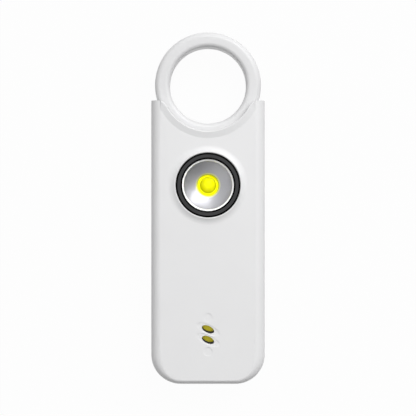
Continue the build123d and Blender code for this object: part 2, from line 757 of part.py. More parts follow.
with BuildPart() as resistors:
    for step in range(RESISTOR_COUNT):
        with Locations((resistor_x + step * CHIP_PART_PITCH, chip_part_y, board_rear_z)):
            Box(
                CHIP_PART_WIDTH,
                CHIP_PART_LENGTH,
                RESISTOR_HEIGHT,
                align=(Align.CENTER, Align.CENTER, Align.MAX),
            )
write_piece(resistors.part, "resistors")


with BuildPart() as capacitors:
    for step in range(CAPACITOR_COUNT):
        with Locations((-resistor_x - step * CHIP_PART_PITCH, chip_part_y, board_rear_z)):
            Box(
                CHIP_PART_WIDTH,
                CHIP_PART_LENGTH,
                CAPACITOR_HEIGHT,
                align=(Align.CENTER, Align.CENTER, Align.MAX),
            )
write_piece(capacitors.part, "capacitors")


choke_place = (CHIP_OFFSET, torch_y, board_rear_z)
winding_height = CHOKE_HEIGHT - 2 * CHOKE_FLANGE

with BuildPart() as choke_core:
    with Locations(choke_place):
        Cylinder(CHOKE_RADIUS, CHOKE_HEIGHT, align=(Align.CENTER, Align.CENTER, Align.MAX))
    with Locations((CHIP_OFFSET, torch_y, board_rear_z - CHOKE_FLANGE)):
        Cylinder(
            CHOKE_RADIUS, winding_height, align=(Align.CENTER, Align.CENTER, Align.MAX), mode=Mode.SUBTRACT
        )
        Cylinder(CHOKE_CORE_RADIUS, winding_height, align=(Align.CENTER, Align.CENTER, Align.MAX))
write_piece(choke_core.part, "choke_core")


with BuildPart() as choke_winding:
    with Locations((CHIP_OFFSET, torch_y, board_rear_z - CHOKE_FLANGE)):
        Cylinder(WINDING_RADIUS, winding_height, align=(Align.CENTER, Align.CENTER, Align.MAX))
        Cylinder(
            CHOKE_CORE_RADIUS,
            winding_height,
            align=(Align.CENTER, Align.CENTER, Align.MAX),
            mode=Mode.SUBTRACT,
        )
write_piece(choke_winding.part, "choke_winding")


with BuildPart() as switch_terminal:
    with Locations((0, leaf_root_y - LEAF_ROOT_GAP, leaf_rear_z)):
        Box(
            LEAF_WIDTH,
            TERMINAL_LENGTH,
            board_rear_z - leaf_rear_z,
            align=(Align.CENTER, Align.MAX, Align.MIN),
        )
write_piece(switch_terminal.part, "switch_terminal")


with BuildPart() as switch_leaf:
    with BuildSketch(Plane.YZ):
        with BuildLine():
            Polyline(
                (leaf_root_y, leaf_rear_z),
                (leaf_end_y - LEAF_KINK, leaf_rear_z),
                (leaf_end_y, leaf_rear_z + LEAF_KINK_RISE),
                (leaf_end_y, leaf_rear_z + LEAF_KINK_RISE + LEAF_METAL),
                (leaf_end_y - LEAF_KINK, leaf_rear_z + LEAF_METAL),
                (leaf_root_y, leaf_rear_z + LEAF_METAL),
                close=True,
            )
        make_face()
    extrude(amount=LEAF_WIDTH / 2, both=True)
write_piece(switch_leaf.part, "switch_leaf")


with BuildPart() as contact_bridge:
    bridge_inner_x = TONGUE_WIDTH / 2 + BRIDGE_SIDE_CLEARANCE
    bridge_outer_x = bridge_inner_x + BRIDGE_METAL
    bridge_rear_z = bridge_front_z - BRIDGE_METAL
    with BuildSketch(Plane.XZ.offset(-bridge_y)):
        with BuildLine():
            Polyline(
                (-bridge_outer_x, board_rear_z),
                (-bridge_outer_x, bridge_rear_z),
                (bridge_outer_x, bridge_rear_z),
                (bridge_outer_x, board_rear_z),
                (bridge_inner_x, board_rear_z),
                (bridge_inner_x, bridge_front_z),
                (-bridge_inner_x, bridge_front_z),
                (-bridge_inner_x, board_rear_z),
                close=True,
            )
        make_face()
    extrude(amount=BRIDGE_LENGTH / 2, both=True)
write_piece(contact_bridge.part, "contact_bridge")


def coin_cell(rear_z):
    """A coin cell: the can below, and the stepped cap on top."""
    with BuildPart() as cell:
        with Locations((0, cell_y, rear_z)):
            Cylinder(
                CELL_RADIUS, CELL_HEIGHT - CELL_CAP_STEP, align=(Align.CENTER, Align.CENTER, Align.MIN)
            )
        fillet(cell.edges().filter_by(GeomType.CIRCLE), CELL_ROUND)
        with Locations((0, cell_y, rear_z)):
            Cylinder(CELL_CAP_RADIUS, CELL_HEIGHT, align=(Align.CENTER, Align.CENTER, Align.MIN))
    return cell.part


write_piece(coin_cell(cell_rear_z), "coin_cell_rear")
write_piece(coin_cell(cell_rear_z + CELL_HEIGHT), "coin_cell_front")


with BuildPart() as negative_contact:
    spring_low_y = cell_y - NEGATIVE_LENGTH / 2
    spring_high_y = cell_y + NEGATIVE_LENGTH / 2
    spring_bend_z = front_inner_z - 2 * CONTACT_METAL
    pad_y = cell_y + CONTACT_PAD
    with BuildSketch(Plane.YZ):
        with BuildLine():
            Polyline(
                (spring_low_y, front_inner_z),
                (spring_high_y, front_inner_z),
                (spring_high_y, front_inner_z - CONTACT_METAL),
                (spring_low_y + CONTACT_METAL, front_inner_z - CONTACT_METAL),
                (spring_low_y + CONTACT_METAL, spring_bend_z),
                (cell_y, cell_front_z + CONTACT_METAL),
                (pad_y, cell_front_z + CONTACT_METAL),
                (pad_y, cell_front_z),
                (cell_y, cell_front_z),
                (spring_low_y, spring_bend_z - CONTACT_METAL),
                close=True,
            )
        make_face()
    extrude(amount=NEGATIVE_WIDTH / 2, both=True)
    # Ear that the lead is soldered to
    with Locations((0, cell_y, front_inner_z)):
        Box(
            NEGATIVE_EAR_REACH,
            NEGATIVE_EAR_LENGTH,
            CONTACT_METAL,
            align=(Align.MAX, Align.MIN, Align.MAX),
        )
write_piece(negative_contact.part, "negative_contact")


with BuildPart() as positive_contact:
    strip_low_y = cell_y - POSITIVE_REACH
    riser_y = board_low_y + CONTACT_METAL
    finger_high_y = cell_y - CONTACT_METAL
    with BuildSketch(Plane.YZ.offset(POSITIVE_OFFSET)):
        with BuildLine():
            Polyline(
                (strip_low_y, WALL),
                (riser_y + CONTACT_METAL, WALL),
                (riser_y + CONTACT_METAL, board_rear_z - CONTACT_METAL),
                (riser_y + POSITIVE_FOOT, board_rear_z - CONTACT_METAL),
                (riser_y + POSITIVE_FOOT, board_rear_z),
                (riser_y, board_rear_z),
                (riser_y, WALL + CONTACT_METAL),
                (strip_low_y + 2 * CONTACT_METAL, WALL + CONTACT_METAL),
                (finger_high_y, cell_rear_z - CONTACT_METAL),
                (finger_high_y, cell_rear_z),
                (finger_high_y - 2 * CONTACT_METAL, cell_rear_z),
                (strip_low_y, WALL + 2 * CONTACT_METAL),
                close=True,
            )
        make_face()
    extrude(amount=POSITIVE_WIDTH / 2, both=True)
write_piece(positive_contact.part, "positive_contact")


with BuildPart() as piezo_plate:
    with BuildSketch(Plane.XY.offset(plate_rear_z)):
        with Locations((0, sound_y)):
            Circle(PIEZO_RADIUS)
    extrude(amount=PIEZO_PLATE_THICKNESS)
write_piece(piezo_plate.part, "piezo_plate")


with BuildPart() as piezo_ceramic:
    with BuildSketch(Plane.XY.offset(ceramic_rear_z)):
        with Locations((0, sound_y)):
            Circle(CERAMIC_RADIUS)
    extrude(amount=CERAMIC_THICKNESS)
write_piece(piezo_ceramic.part, "piezo_ceramic")


with BuildPart() as piezo_adhesive_ring:
    with BuildSketch(Plane.XY.offset(plate_front_z)):
        with Locations((0, sound_y)):
            Circle(PIEZO_RADIUS)
            Circle(seat_inner_radius, mode=Mode.SUBTRACT)
    extrude(amount=ADHESIVE_THICKNESS)
write_piece(piezo_adhesive_ring.part, "piezo_adhesive_ring")


with BuildPart() as sound_gasket:
    with BuildSketch(Plane.XY.offset(front_inner_z)):
        with Locations((0, sound_y)):
            Circle(seat_inner_radius - GASKET_EDGE_GAP)
        for step in (-1, 1):
            with Locations((0, sound_y + step * SOUND_PITCH / 2 + GASKET_HOLE_SHIFT)):
                Ellipse(
                    SOUND_HOLE_HALF_LENGTH,
                    SOUND_HOLE_HALF_WIDTH,
                    rotation=SOUND_TILT,
                    mode=Mode.SUBTRACT,
                )
    extrude(amount=-GASKET_THICKNESS)
write_piece(sound_gasket.part, "sound_gasket")


def wire(plane, *points):
    """A round wire with soft bends through points of a plane."""
    with BuildPart() as tube:
        with BuildLine(plane) as route:
            FilletPolyline(*points, radius=WIRE_BEND)
        with BuildSketch(Plane(origin=route.line @ 0, z_dir=route.line % 0)):
            Circle(WIRE_RADIUS)
        sweep()
    return tube.part


def piezo_lead(side, start_x, start_y, joint_z):
    """A lead that runs beside the cells, from a solder joint on the sounder to the board."""
    lead_z = board_front_z + WIRE_RADIUS
    lane_x = inner_half_width - WIRE_WALL_GAP
    lane_low_y = sound_y + PIEZO_RADIUS + WIRE_BEND
    with BuildPart() as lead:
        add(
            wire(
                Plane.XY.offset(lead_z),
                (side * start_x, start_y),
                (side * lane_x, lane_low_y),
                (side * lane_x, board_low_y - 2 * WIRE_BEND),
                (side * board_screw_x, chip_part_y),
            )
        )
        with Locations((side * start_x, start_y, lead_z)):
            Cylinder(
                SOLDER_RADIUS, joint_z - lead_z, align=(Align.CENTER, Align.CENTER, Align.MIN)
            )
            Sphere(SOLDER_RADIUS)
    return lead.part


live_start = CERAMIC_RADIUS / 2
return_start_x = (CERAMIC_RADIUS + seat_inner_radius) / 2
write_piece(piezo_lead(1, live_start, sound_y + live_start, ceramic_rear_z), "piezo_lead_live")
write_piece(piezo_lead(-1, return_start_x, sound_y + SOLDER_RADIUS, plate_rear_z), "piezo_lead_return")


battery_lead_high_z = front_inner_z - CONTACT_METAL - WIRE_RADIUS
battery_lead_low_z = board_front_z + WIRE_RADIUS
battery_lead_x = -NEGATIVE_EAR_REACH + 2 * WIRE_RADIUS
battery_lead = wire(
    Plane.YZ.offset(battery_lead_x),
    (cell_y + NEGATIVE_EAR_LENGTH / 2, battery_lead_high_z),
    (cell_y + well_outer_radius - WIRE_BEND, battery_lead_high_z),
    (board_low_y, battery_lead_low_z),
    (chip_part_y, battery_lead_low_z),
)
write_piece(battery_lead, "battery_lead")


def screw(x, y, head_z, length):
    """A cross-headed screw that points along +Z, with the outer face of its head at a height."""
    head_top_z = head_z + SCREW_HEAD_HEIGHT
    with BuildPart() as body:
        with Locations((x, y, head_z)):
            Cylinder(SCREW_HEAD_RADIUS, SCREW_HEAD_HEIGHT, align=(Align.CENTER, Align.CENTER, Align.MIN))
        with Locations((x, y, head_top_z)):
            Cylinder(SCREW_RADIUS, length, align=(Align.CENTER, Align.CENTER, Align.MIN))
        with Locations((x, y, head_z)):
            for turn in (0, 90):
                Box(
                    2 * SCREW_RADIUS,
                    SCREW_SLOT_WIDTH,
                    SCREW_SLOT_DEPTH,
                    rotation=(0, 0, turn),
                    align=(Align.CENTER, Align.CENTER, Align.MIN),
                    mode=Mode.SUBTRACT,
                )
    return body.part


with BuildPart() as housing_screws:
    for x, y in screw_places:
        add(screw(x, y, SCREW_HEAD_DEPTH, HOUSING_SCREW_LENGTH))
write_piece(housing_screws.part, "housing_screws")


with BuildPart() as board_screws:
    for x, y in board_screw_places:
        add(screw(x, y, board_rear_z - SCREW_HEAD_HEIGHT, BOARD_SCREW_LENGTH))
write_piece(board_screws.part, "board_screws")


leaf_swing = atan((leaf_rear_z - bridge_front_z - BRIDGE_FACE_CLEARANCE) / (bridge_y - leaf_root_y))
print("overall length", overall_length, "ring centre y", ring_y, "foot y", foot_y)
print("leaf hinge at", leaf_root_y, leaf_rear_z, "swing", degrees(leaf_swing))
print("torch y", torch_y, "cell y", cell_y, "board", board_low_y, board_high_y)
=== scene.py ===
# %% [markdown]
# A personal safety alarm lies on its back: a slim white case with a torch in its face, two sound
# holes near its foot, and a pull ring that stands in a cradle at its upper end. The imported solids
# are the frame of this scene, and they say where every piece is and how large it is. They could
# all be shown as they are, but up close their edges are too sharp for moulded plastic. So the
# pieces that show are made again here with finer edges, and the rest get a finish only.

import json
from math import cos, pi, radians, sin, tan

import bmesh
import bpy
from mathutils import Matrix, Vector


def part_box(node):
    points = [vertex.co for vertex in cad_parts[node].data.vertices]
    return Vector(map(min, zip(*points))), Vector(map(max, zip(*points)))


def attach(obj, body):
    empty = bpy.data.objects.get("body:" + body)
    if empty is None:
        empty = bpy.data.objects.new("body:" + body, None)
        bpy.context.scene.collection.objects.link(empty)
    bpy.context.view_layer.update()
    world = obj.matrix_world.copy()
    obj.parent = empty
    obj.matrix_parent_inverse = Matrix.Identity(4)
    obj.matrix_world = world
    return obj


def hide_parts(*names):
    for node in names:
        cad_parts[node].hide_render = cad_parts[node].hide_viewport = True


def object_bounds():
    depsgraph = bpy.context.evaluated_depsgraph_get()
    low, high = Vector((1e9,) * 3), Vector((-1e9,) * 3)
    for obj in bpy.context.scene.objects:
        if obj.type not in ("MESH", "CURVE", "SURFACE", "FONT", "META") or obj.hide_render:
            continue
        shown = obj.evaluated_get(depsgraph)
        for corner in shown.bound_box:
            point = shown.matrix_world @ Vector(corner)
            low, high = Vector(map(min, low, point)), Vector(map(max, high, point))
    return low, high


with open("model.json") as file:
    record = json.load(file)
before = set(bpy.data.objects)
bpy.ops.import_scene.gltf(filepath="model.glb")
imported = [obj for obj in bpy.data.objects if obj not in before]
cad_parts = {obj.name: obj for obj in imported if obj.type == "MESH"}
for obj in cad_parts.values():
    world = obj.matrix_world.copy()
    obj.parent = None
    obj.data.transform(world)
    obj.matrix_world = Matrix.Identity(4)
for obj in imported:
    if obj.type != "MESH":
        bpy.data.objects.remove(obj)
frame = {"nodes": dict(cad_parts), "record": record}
cad_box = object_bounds()
MM = 0.001

# %% [markdown]
# The camera looks straight down at the face of the alarm, with the ring upwards, as a catalogue
# picture does. A short lens close by would show the sides of the case too. A long lens far away
# keeps them nearly parallel, so it was chosen. The sensor's width over the lens is the width of
# the view over its distance, and that gives the distance.

# %% Camera above the face
VIEW_WIDTH = 116.5 * MM
LENS = 150.0
SENSOR = 36.0
NEAREST_SEEN = 10 * MM
face_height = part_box("front_shell")[1].z
camera_data = bpy.data.cameras.new("camera")
camera_data.lens = LENS
camera_data.sensor_width = SENSOR
camera_data.clip_start = NEAREST_SEEN
camera = bpy.data.objects.new("camera", camera_data)
camera.location = (0, 0, face_height + VIEW_WIDTH * LENS / SENSOR)
bpy.context.scene.collection.objects.link(camera)
bpy.context.scene.camera = camera
bpy.context.scene.view_settings.view_transform = "Standard"
print("camera height:", round(camera.location.z, 4))

# %% [markdown]
# The sky, the finishes and the shapes that follow a rule are all made of nodes. Each node, each
# setting and each link could have a line of its own, but then every cell would be long. Three
# helpers keep them short. One feeds a node's inputs, one adds a node that is ready to use, and
# one works out a sum.

# %% Add and feed nodes


def feed(tree, node, inputs):
    """Give a node's inputs their values, or link them to the outputs of other nodes."""
    for socket, value in inputs.items():
        if isinstance(value, bpy.types.NodeSocket):
            tree.links.new(value, node.inputs[socket])
        else:
            node.inputs[socket].default_value = value


def add_node(tree, kind, inputs=None, **settings):
    """A new node of a kind, with its settings made and its inputs fed."""
    node = tree.nodes.new(kind)
    for setting, value in settings.items():
        setattr(node, setting, value)
    feed(tree, node, inputs or {})
    return node


def calculate(tree, operation, first, second):
    """The result of a sum on two numbers or outputs."""
    return add_node(tree, "ShaderNodeMath", {0: first, 1: second}, operation=operation).outputs[0]


print("helpers for nodes are ready: feed, add_node and calculate")

# %% [markdown]
# A surface is reached by rays of several kinds: straight from the camera, off a glossy piece,
# through a clear one, or as plain light. A background that is white to look at would light the
# alarm too strongly, so the sky and the floor both ask which kind of ray it is.

# %% Tell the kinds of rays apart
CAMERA_RAYS = ("Is Camera Ray",)
MIRROR_RAYS = ("Is Glossy Ray", "Is Transmission Ray")
SHADOW_RAYS = ("Is Shadow Ray",)


def any_ray(tree, kinds):
    """1 for a ray of any of the kinds that are named, and 0 for any other."""
    path = add_node(tree, "ShaderNodeLightPath")
    found = path.outputs[kinds[0]]
    for kind in kinds[1:]:
        found = calculate(tree, "MAXIMUM", found, path.outputs[kind])
    return found


print("the background is seen by:", CAMERA_RAYS + MIRROR_RAYS)

# %% [markdown]
# The light is a studio tent. As a light, the sky is brightest overhead and towards the upper end,
# which makes the ring's outer edge bright and the foot of the case dark. To the camera it is
# plain white. In mirrors it is white too, but for a dark card at the lower right, and that card
# is what the upper left of the torch's dish shows, because a dish mirrors what stands opposite.
# A picture of a real studio could do this. Two gradients along an axis need no picture, and each
# is turned by one vector.

# %% Sky
SKY_AXIS = Vector((0.0, 0.42, 0.9)).normalized()
SKY_TURN = -0.3
SKY_DARK = 0.02
SKY_BRIGHT = 0.67
CARD_AXIS = Vector((0.7, -0.7, 0.1)).normalized()
CARD_EDGE = 0.18
CARD_DARK = 0.22
SEEN_WHITE = 1.0


def sky_gradient(tree, axis, start, low, high):
    """A strength that goes from low to high as the direction turns to an axis."""
    direction = add_node(tree, "ShaderNodeTexCoord").outputs["Generated"]
    along = add_node(tree, "ShaderNodeVectorMath", {0: direction, 1: axis}, operation="DOT_PRODUCT")
    reach = {"Value": along.outputs["Value"], "From Min": start, "To Min": low, "To Max": high}
    return add_node(tree, "ShaderNodeMapRange", reach).outputs["Result"]


def studio_sky():
    """White to the camera, white with a dark card in mirrors, and a soft gradient as a light."""
    world = bpy.data.worlds.new("studio_sky")
    world.use_nodes = True
    tree = world.node_tree
    light = sky_gradient(tree, SKY_AXIS, SKY_TURN, SKY_DARK, SKY_BRIGHT)
    card = sky_gradient(tree, CARD_AXIS, CARD_EDGE, SEEN_WHITE, CARD_DARK)
    in_mirrors = {"Factor": any_ray(tree, MIRROR_RAYS), "A": light, "B": card}
    mirrored = add_node(tree, "ShaderNodeMix", in_mirrors).outputs["Result"]
    to_camera = {"Factor": any_ray(tree, CAMERA_RAYS), "A": mirrored, "B": SEEN_WHITE}
    seen = add_node(tree, "ShaderNodeMix", to_camera).outputs["Result"]
    feed(tree, tree.nodes["Background"], {"Color": (1, 1, 1, 1), "Strength": seen})
    return world


bpy.context.scene.world = studio_sky()
print("sky as a light, from its dark side to its bright one:", SKY_DARK, SKY_BRIGHT)

# %% [markdown]
# Both lamps are plain rectangles that point at the alarm. The large one above the upper end keeps
# the edges of every shadow soft. The strip stands at the upper right and is narrow, so its image
# in the lower left of the metallised dish is a narrow wedge. A point lamp would be simpler, but
# its shadows are hard and its image in the dish is a dot.

# %% Two soft lamps
KEY_PLACE = (0.26, 0.5, 0.78)
KEY_SIDE = 0.7
KEY_POWER = 5.4
STRIP_PLACE = (0.54, 0.54, 0.45)
STRIP_WIDTH = 0.14
STRIP_HEIGHT = 0.75
STRIP_POWER = 1.32


def soft_lamp(name, place, width, height, power):
    """A soft rectangular lamp that points at the alarm."""
    data = bpy.data.lights.new(name, "AREA")
    data.shape = "RECTANGLE"
    data.size = width
    data.size_y = height
    data.energy = power
    lamp = bpy.data.objects.new(name, data)
    lamp.location = place
    lamp.rotation_euler = (-Vector(place)).to_track_quat("-Z", "Y").to_euler()
    bpy.context.scene.collection.objects.link(lamp)
    print(name, "at", place, "with", power, "watts")


soft_lamp("key_lamp", KEY_PLACE, KEY_SIDE, KEY_SIDE, KEY_POWER)
soft_lamp("strip_lamp", STRIP_PLACE, STRIP_WIDTH, STRIP_HEIGHT, STRIP_POWER)

# %% [markdown]
# The floor is plain and pale. To the camera, in mirrors and through glass it is mostly an even
# white, with a share of its own shading left in, so that the alarm still has a soft shadow to
# stand on. As a light it is a plain matt grey, which lights the sides of the case from below. A
# white floor under a stronger lamp would look alike, but it would bleach the white case too.

# %% Floor
FLOOR_HALF = 1.2
FLOOR_GREY = 0.5
FLOOR_EVEN_SHARE = 0.97


def floor_material():
    """White that keeps a faint shadow where it is seen, and a matt grey as a light."""
    material = bpy.data.materials.new("floor_white")
    material.use_nodes = True
    tree = material.node_tree
    tree.nodes.remove(tree.nodes["Principled BSDF"])
    matt = add_node(tree, "ShaderNodeBsdfDiffuse", {"Color": (FLOOR_GREY, FLOOR_GREY, FLOOR_GREY, 1)})
    even = add_node(tree, "ShaderNodeEmission")
    share = calculate(tree, "MULTIPLY", any_ray(tree, CAMERA_RAYS + MIRROR_RAYS), FLOOR_EVEN_SHARE)
    mixed = {"Fac": share, 1: matt.outputs[0], 2: even.outputs[0]}
    surface = add_node(tree, "ShaderNodeMixShader", mixed).outputs[0]
    feed(tree, tree.nodes["Material Output"], {"Surface": surface})
    return material


floor_mesh = bpy.data.meshes.new("floor")
floor_signs = [(-1, -1), (1, -1), (1, 1), (-1, 1)]
floor_corners = [(x * FLOOR_HALF, y * FLOOR_HALF, 0) for x, y in floor_signs]
floor_mesh.from_pydata(floor_corners, [], [(0, 1, 2, 3)])
floor_mesh.materials.append(floor_material())
floor = bpy.data.objects.new("floor", floor_mesh)
floor.location.z = cad_box[0].z
bpy.context.scene.collection.objects.link(floor)
print("floor at height", round(floor.location.z, 5))

# %% [markdown]
# Moulded plastic is never one even tone. Its skin has a fine grain from the spark-eroded mould,
# its gloss varies a little from place to place, and its colour drifts by a percent or two. All
# three are noise, at three sizes. It is read on Object coordinates, which stay with the piece
# wherever it moves, and its middle range is spread over the values that are wanted.

# %% Noise that stays with its piece
GRAIN_DETAIL = 3.0
NOISE_LOW = 0.3
NOISE_HIGH = 0.7


def noise(tree, size, seed):
    """A noise texture on the object's own coordinates, with bumps of a size in mm."""
    place = add_node(tree, "ShaderNodeTexCoord").outputs["Object"]
    shift = {"Vector": place, "Location": (seed, seed, seed)}
    moved = add_node(tree, "ShaderNodeMapping", shift).outputs["Vector"]
    bumps = {"Vector": moved, "Scale": 1 / (size * MM), "Detail": GRAIN_DETAIL}
    return add_node(tree, "ShaderNodeTexNoise", bumps).outputs["Fac"]


def ranged(tree, value, low, high):
    """The noise's middle range, spread from a low value to a high one."""
    spread = {"From Min": NOISE_LOW, "From Max": NOISE_HIGH, "To Min": low, "To Max": high}
    return add_node(tree, "ShaderNodeMapRange", {"Value": value, **spread}).outputs["Result"]


print("noise is used between", NOISE_LOW, "and", NOISE_HIGH)

# %% [markdown]
# One function makes a finish from a colour, a roughness and the size of its grain. Each material
# could be built by hand, but then they would drift apart, and metals need the same three kinds of
# unevenness with other values. The case is a satin white. The ring is a shade darker and a little
# glossier than the case.

# %% A finish with grain and drift
PATCH_SIZE = 14.0
TINT_SIZE = 9.0
GLOSS_DRIFT = 0.06
BUMP_STRENGTH = 1.0


def tune(material, inputs):
    """Feed inputs of a finish's shader."""
    feed(material.node_tree, material.node_tree.nodes["Principled BSDF"], inputs)


def finish(name, colour, roughness, seed, metal=0.0, grain=0.25, depth=0.002, drift=0.008):
    """A material with a fine grain, uneven gloss and a slight drift of colour. Sizes in mm."""
    material = bpy.data.materials.new(name)
    material.use_nodes = True
    tree = material.node_tree
    patches = noise(tree, PATCH_SIZE, seed)
    gloss = ranged(tree, patches, roughness * (1 - GLOSS_DRIFT), roughness * (1 + GLOSS_DRIFT))
    darker = (*[channel * (1 - drift) for channel in colour], 1)
    paler = (*[min(1, channel * (1 + drift)) for channel in colour], 1)
    streaks = ranged(tree, noise(tree, TINT_SIZE, seed + 1), 0, 1)
    tones = {"Factor": streaks, "A": darker, "B": paler}
    tint = add_node(tree, "ShaderNodeMix", tones, name="tint", data_type="RGBA")
    bumps = {"Strength": BUMP_STRENGTH, "Distance": depth * MM, "Height": noise(tree, grain, seed + 2)}
    bump = add_node(tree, "ShaderNodeBump", bumps)
    skin = {"Base Color": tint.outputs["Result"], "Normal": bump.outputs["Normal"]}
    tune(material, {"Metallic": metal, "Roughness": gloss, **skin})
    return material


shell_white = finish("shell_white", colour=(0.80, 0.80, 0.805), roughness=0.42, seed=2)
ring_white = finish("ring_white", colour=(0.74, 0.74, 0.745), roughness=0.36, depth=0.001, seed=5)
print("finishes so far:", shell_white.name, ring_white.name)

# %% [markdown]
# A tree of Geometry Nodes has inputs, as a function has arguments. One helper opens a tree with
# its named inputs, and another finds the identifier that a modifier knows an input by, because a
# modifier can't be told an input by its name.

# %% Open a tree of Geometry Nodes


def new_tree(name, **kinds):
    """A tree with a geometry in and out and other named inputs, and the sockets that bring them."""
    tree = bpy.data.node_groups.new(name, "GeometryNodeTree")
    for socket, kind in {"Geometry": "Geometry", **kinds}.items():
        tree.interface.new_socket(socket, in_out="INPUT", socket_type="NodeSocket" + kind)
    tree.interface.new_socket("Geometry", in_out="OUTPUT", socket_type="NodeSocketGeometry")
    return tree, tree.nodes.new("NodeGroupInput").outputs


def socket_of(tree, name):
    """The identifier that a modifier knows a tree's input by."""
    return next(s.identifier for s in tree.interface.items_tree if s.name == name and s.in_out == "INPUT")


print("helpers for trees are ready: new_tree and socket_of")

# %% [markdown]
# The two half shells of the case are kept from the frame, because their form is already right.
# Their triangles are loose, so a small tree welds them and shades them smooth, with a crease only
# where two faces meet at a clear angle. Editing the mesh would do the same, but a modifier leaves
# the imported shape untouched. Weighted normals then let the large faces set the shading, so that a
# flat face next to a round looks flat.

# %% Weld and smooth a piece that keeps its shape
CREASE_KEPT = radians(9)
WELD = 0.0005 * MM
LARGE_FACES_LEAD = 100


def smoothing_tree():
    """Geometry Nodes that weld loose triangles and keep sharp edges by angle."""
    tree, given = new_tree("weld_and_smooth", Weld="Float", Crease="Float")
    loose = {"Geometry": given["Geometry"], "Distance": given["Weld"]}
    welded = add_node(tree, "GeometryNodeMergeByDistance", loose).outputs["Geometry"]
    faces = add_node(tree, "GeometryNodeSetShadeSmooth", {"Geometry": welded}, domain="FACE")
    angle = add_node(tree, "GeometryNodeInputMeshEdgeAngle").outputs["Unsigned Angle"]
    limits = {"A": angle, "B": given["Crease"]}
    gentle = add_node(tree, "FunctionNodeCompare", limits, operation="LESS_THAN")
    smooth = {"Geometry": faces.outputs["Geometry"], "Shade Smooth": gentle.outputs["Result"]}
    edges = add_node(tree, "GeometryNodeSetShadeSmooth", smooth, domain="EDGE")
    add_node(tree, "NodeGroupOutput", {"Geometry": edges.outputs["Geometry"]})
    return tree


def flatten_large_faces(piece):
    """Let the large faces set the shading, so that a flat face next to a round looks flat."""
    normals = piece.modifiers.new("large_faces_lead", "WEIGHTED_NORMAL")
    normals.mode = "FACE_AREA_WITH_ANGLE"
    normals.weight = LARGE_FACES_LEAD
    normals.keep_sharp = True


weld_and_smooth = smoothing_tree()
print("tree:", weld_and_smooth.name, "with", len(weld_and_smooth.nodes), "nodes")

# %% [markdown]
# Each kept piece gets a finish, the tree and the normals. The front shell is the face of the
# alarm, with its two sound holes and the cradle for the ring. The rear shell is the flat back.

# %% Keep the two shells
SHELLS = ("front_shell", "rear_shell")


def keep(node, material):
    """Keep a piece of the frame, smooth it and give it a finish."""
    piece = frame["nodes"][node]
    piece.data.materials.clear()
    piece.data.materials.append(material)
    modifier = piece.modifiers.new("weld_and_smooth", "NODES")
    modifier.node_group = weld_and_smooth
    modifier[socket_of(weld_and_smooth, "Weld")] = WELD
    modifier[socket_of(weld_and_smooth, "Crease")] = CREASE_KEPT
    flatten_large_faces(piece)


for node in SHELLS:
    keep(node, shell_white)

# %% [markdown]
# Many pieces are turned shapes: the pull ring, the torch's bezel, its lens and dish, the light
# source and the screws. Each could be a cylinder that is cut and bevelled. Here each is one
# outline that is carried round an axis, because an outline shows every radius as it is drawn. It
# is a list of corners, each with the radius that rounds it.

# %% Outline with rounded corners
ROUND_STEPS = 6


def swung(arm, turn):
    """A flat vector, turned by an angle."""
    return Vector((arm.x * cos(turn) - arm.y * sin(turn), arm.x * sin(turn) + arm.y * cos(turn)))


def arc(centre, start, end, steps):
    """Points from a start to an end, round a centre."""
    arm = start - centre
    sweep = arm.angle_signed(end - centre)
    return [centre + swung(arm, -sweep * step / steps) for step in range(steps + 1)]


def rounded(corners, steps=ROUND_STEPS):
    """Points of a closed outline whose corners, each (x, y, radius) in mm, are rounded."""
    points = []
    for index, (x, y, radius) in enumerate(corners):
        here = Vector((x, y))
        before = (Vector(corners[index - 1][:2]) - here).normalized()
        after = (Vector(corners[(index + 1) % len(corners)][:2]) - here).normalized()
        if radius == 0:
            points.append(here)
            continue
        half = before.angle(after) / 2
        centre = here + (before + after).normalized() * radius / sin(half)
        start = here + before * radius / tan(half)
        points += arc(centre, start, here + after * radius / tan(half), steps)
    return points


print("points on a rounded square:", len(rounded([(0, 0, 1), (4, 0, 1), (4, 4, 1), (0, 4, 1)])))

# %% [markdown]
# Every tree that makes a shape ends alike: Realize Instances, then Set Material, then the output.
# Without the first, what the tree repeats would be lost when the model is exported.

# %% End a tree that makes a shape


def hand_out(tree, geometry, material):
    """Make the shape real, give it its material and lead it to the tree's output."""
    real = add_node(tree, "GeometryNodeRealizeInstances", {"Geometry": geometry}).outputs["Geometry"]
    dressed = add_node(tree, "GeometryNodeSetMaterial", {"Geometry": real, "Material": material})
    add_node(tree, "NodeGroupOutput", {"Geometry": dressed.outputs["Geometry"]})


print("a helper that ends trees is ready: hand_out")

# %% [markdown]
# Spin or the Screw modifier would turn an outline too. A tree was chosen because its inputs say
# what a turned piece is: the steps round the axis, the axis, the welding distance and the
# material. It lays a grid with a column for each step and a row for each point of the outline,
# and sends every vertex to its place. One column and one row more fall on the first ones, and the
# weld joins them. It also closes the ends of an outline that touches the axis.

# %% Tree that turns an outline
HALF_A_VERTEX = 0.5


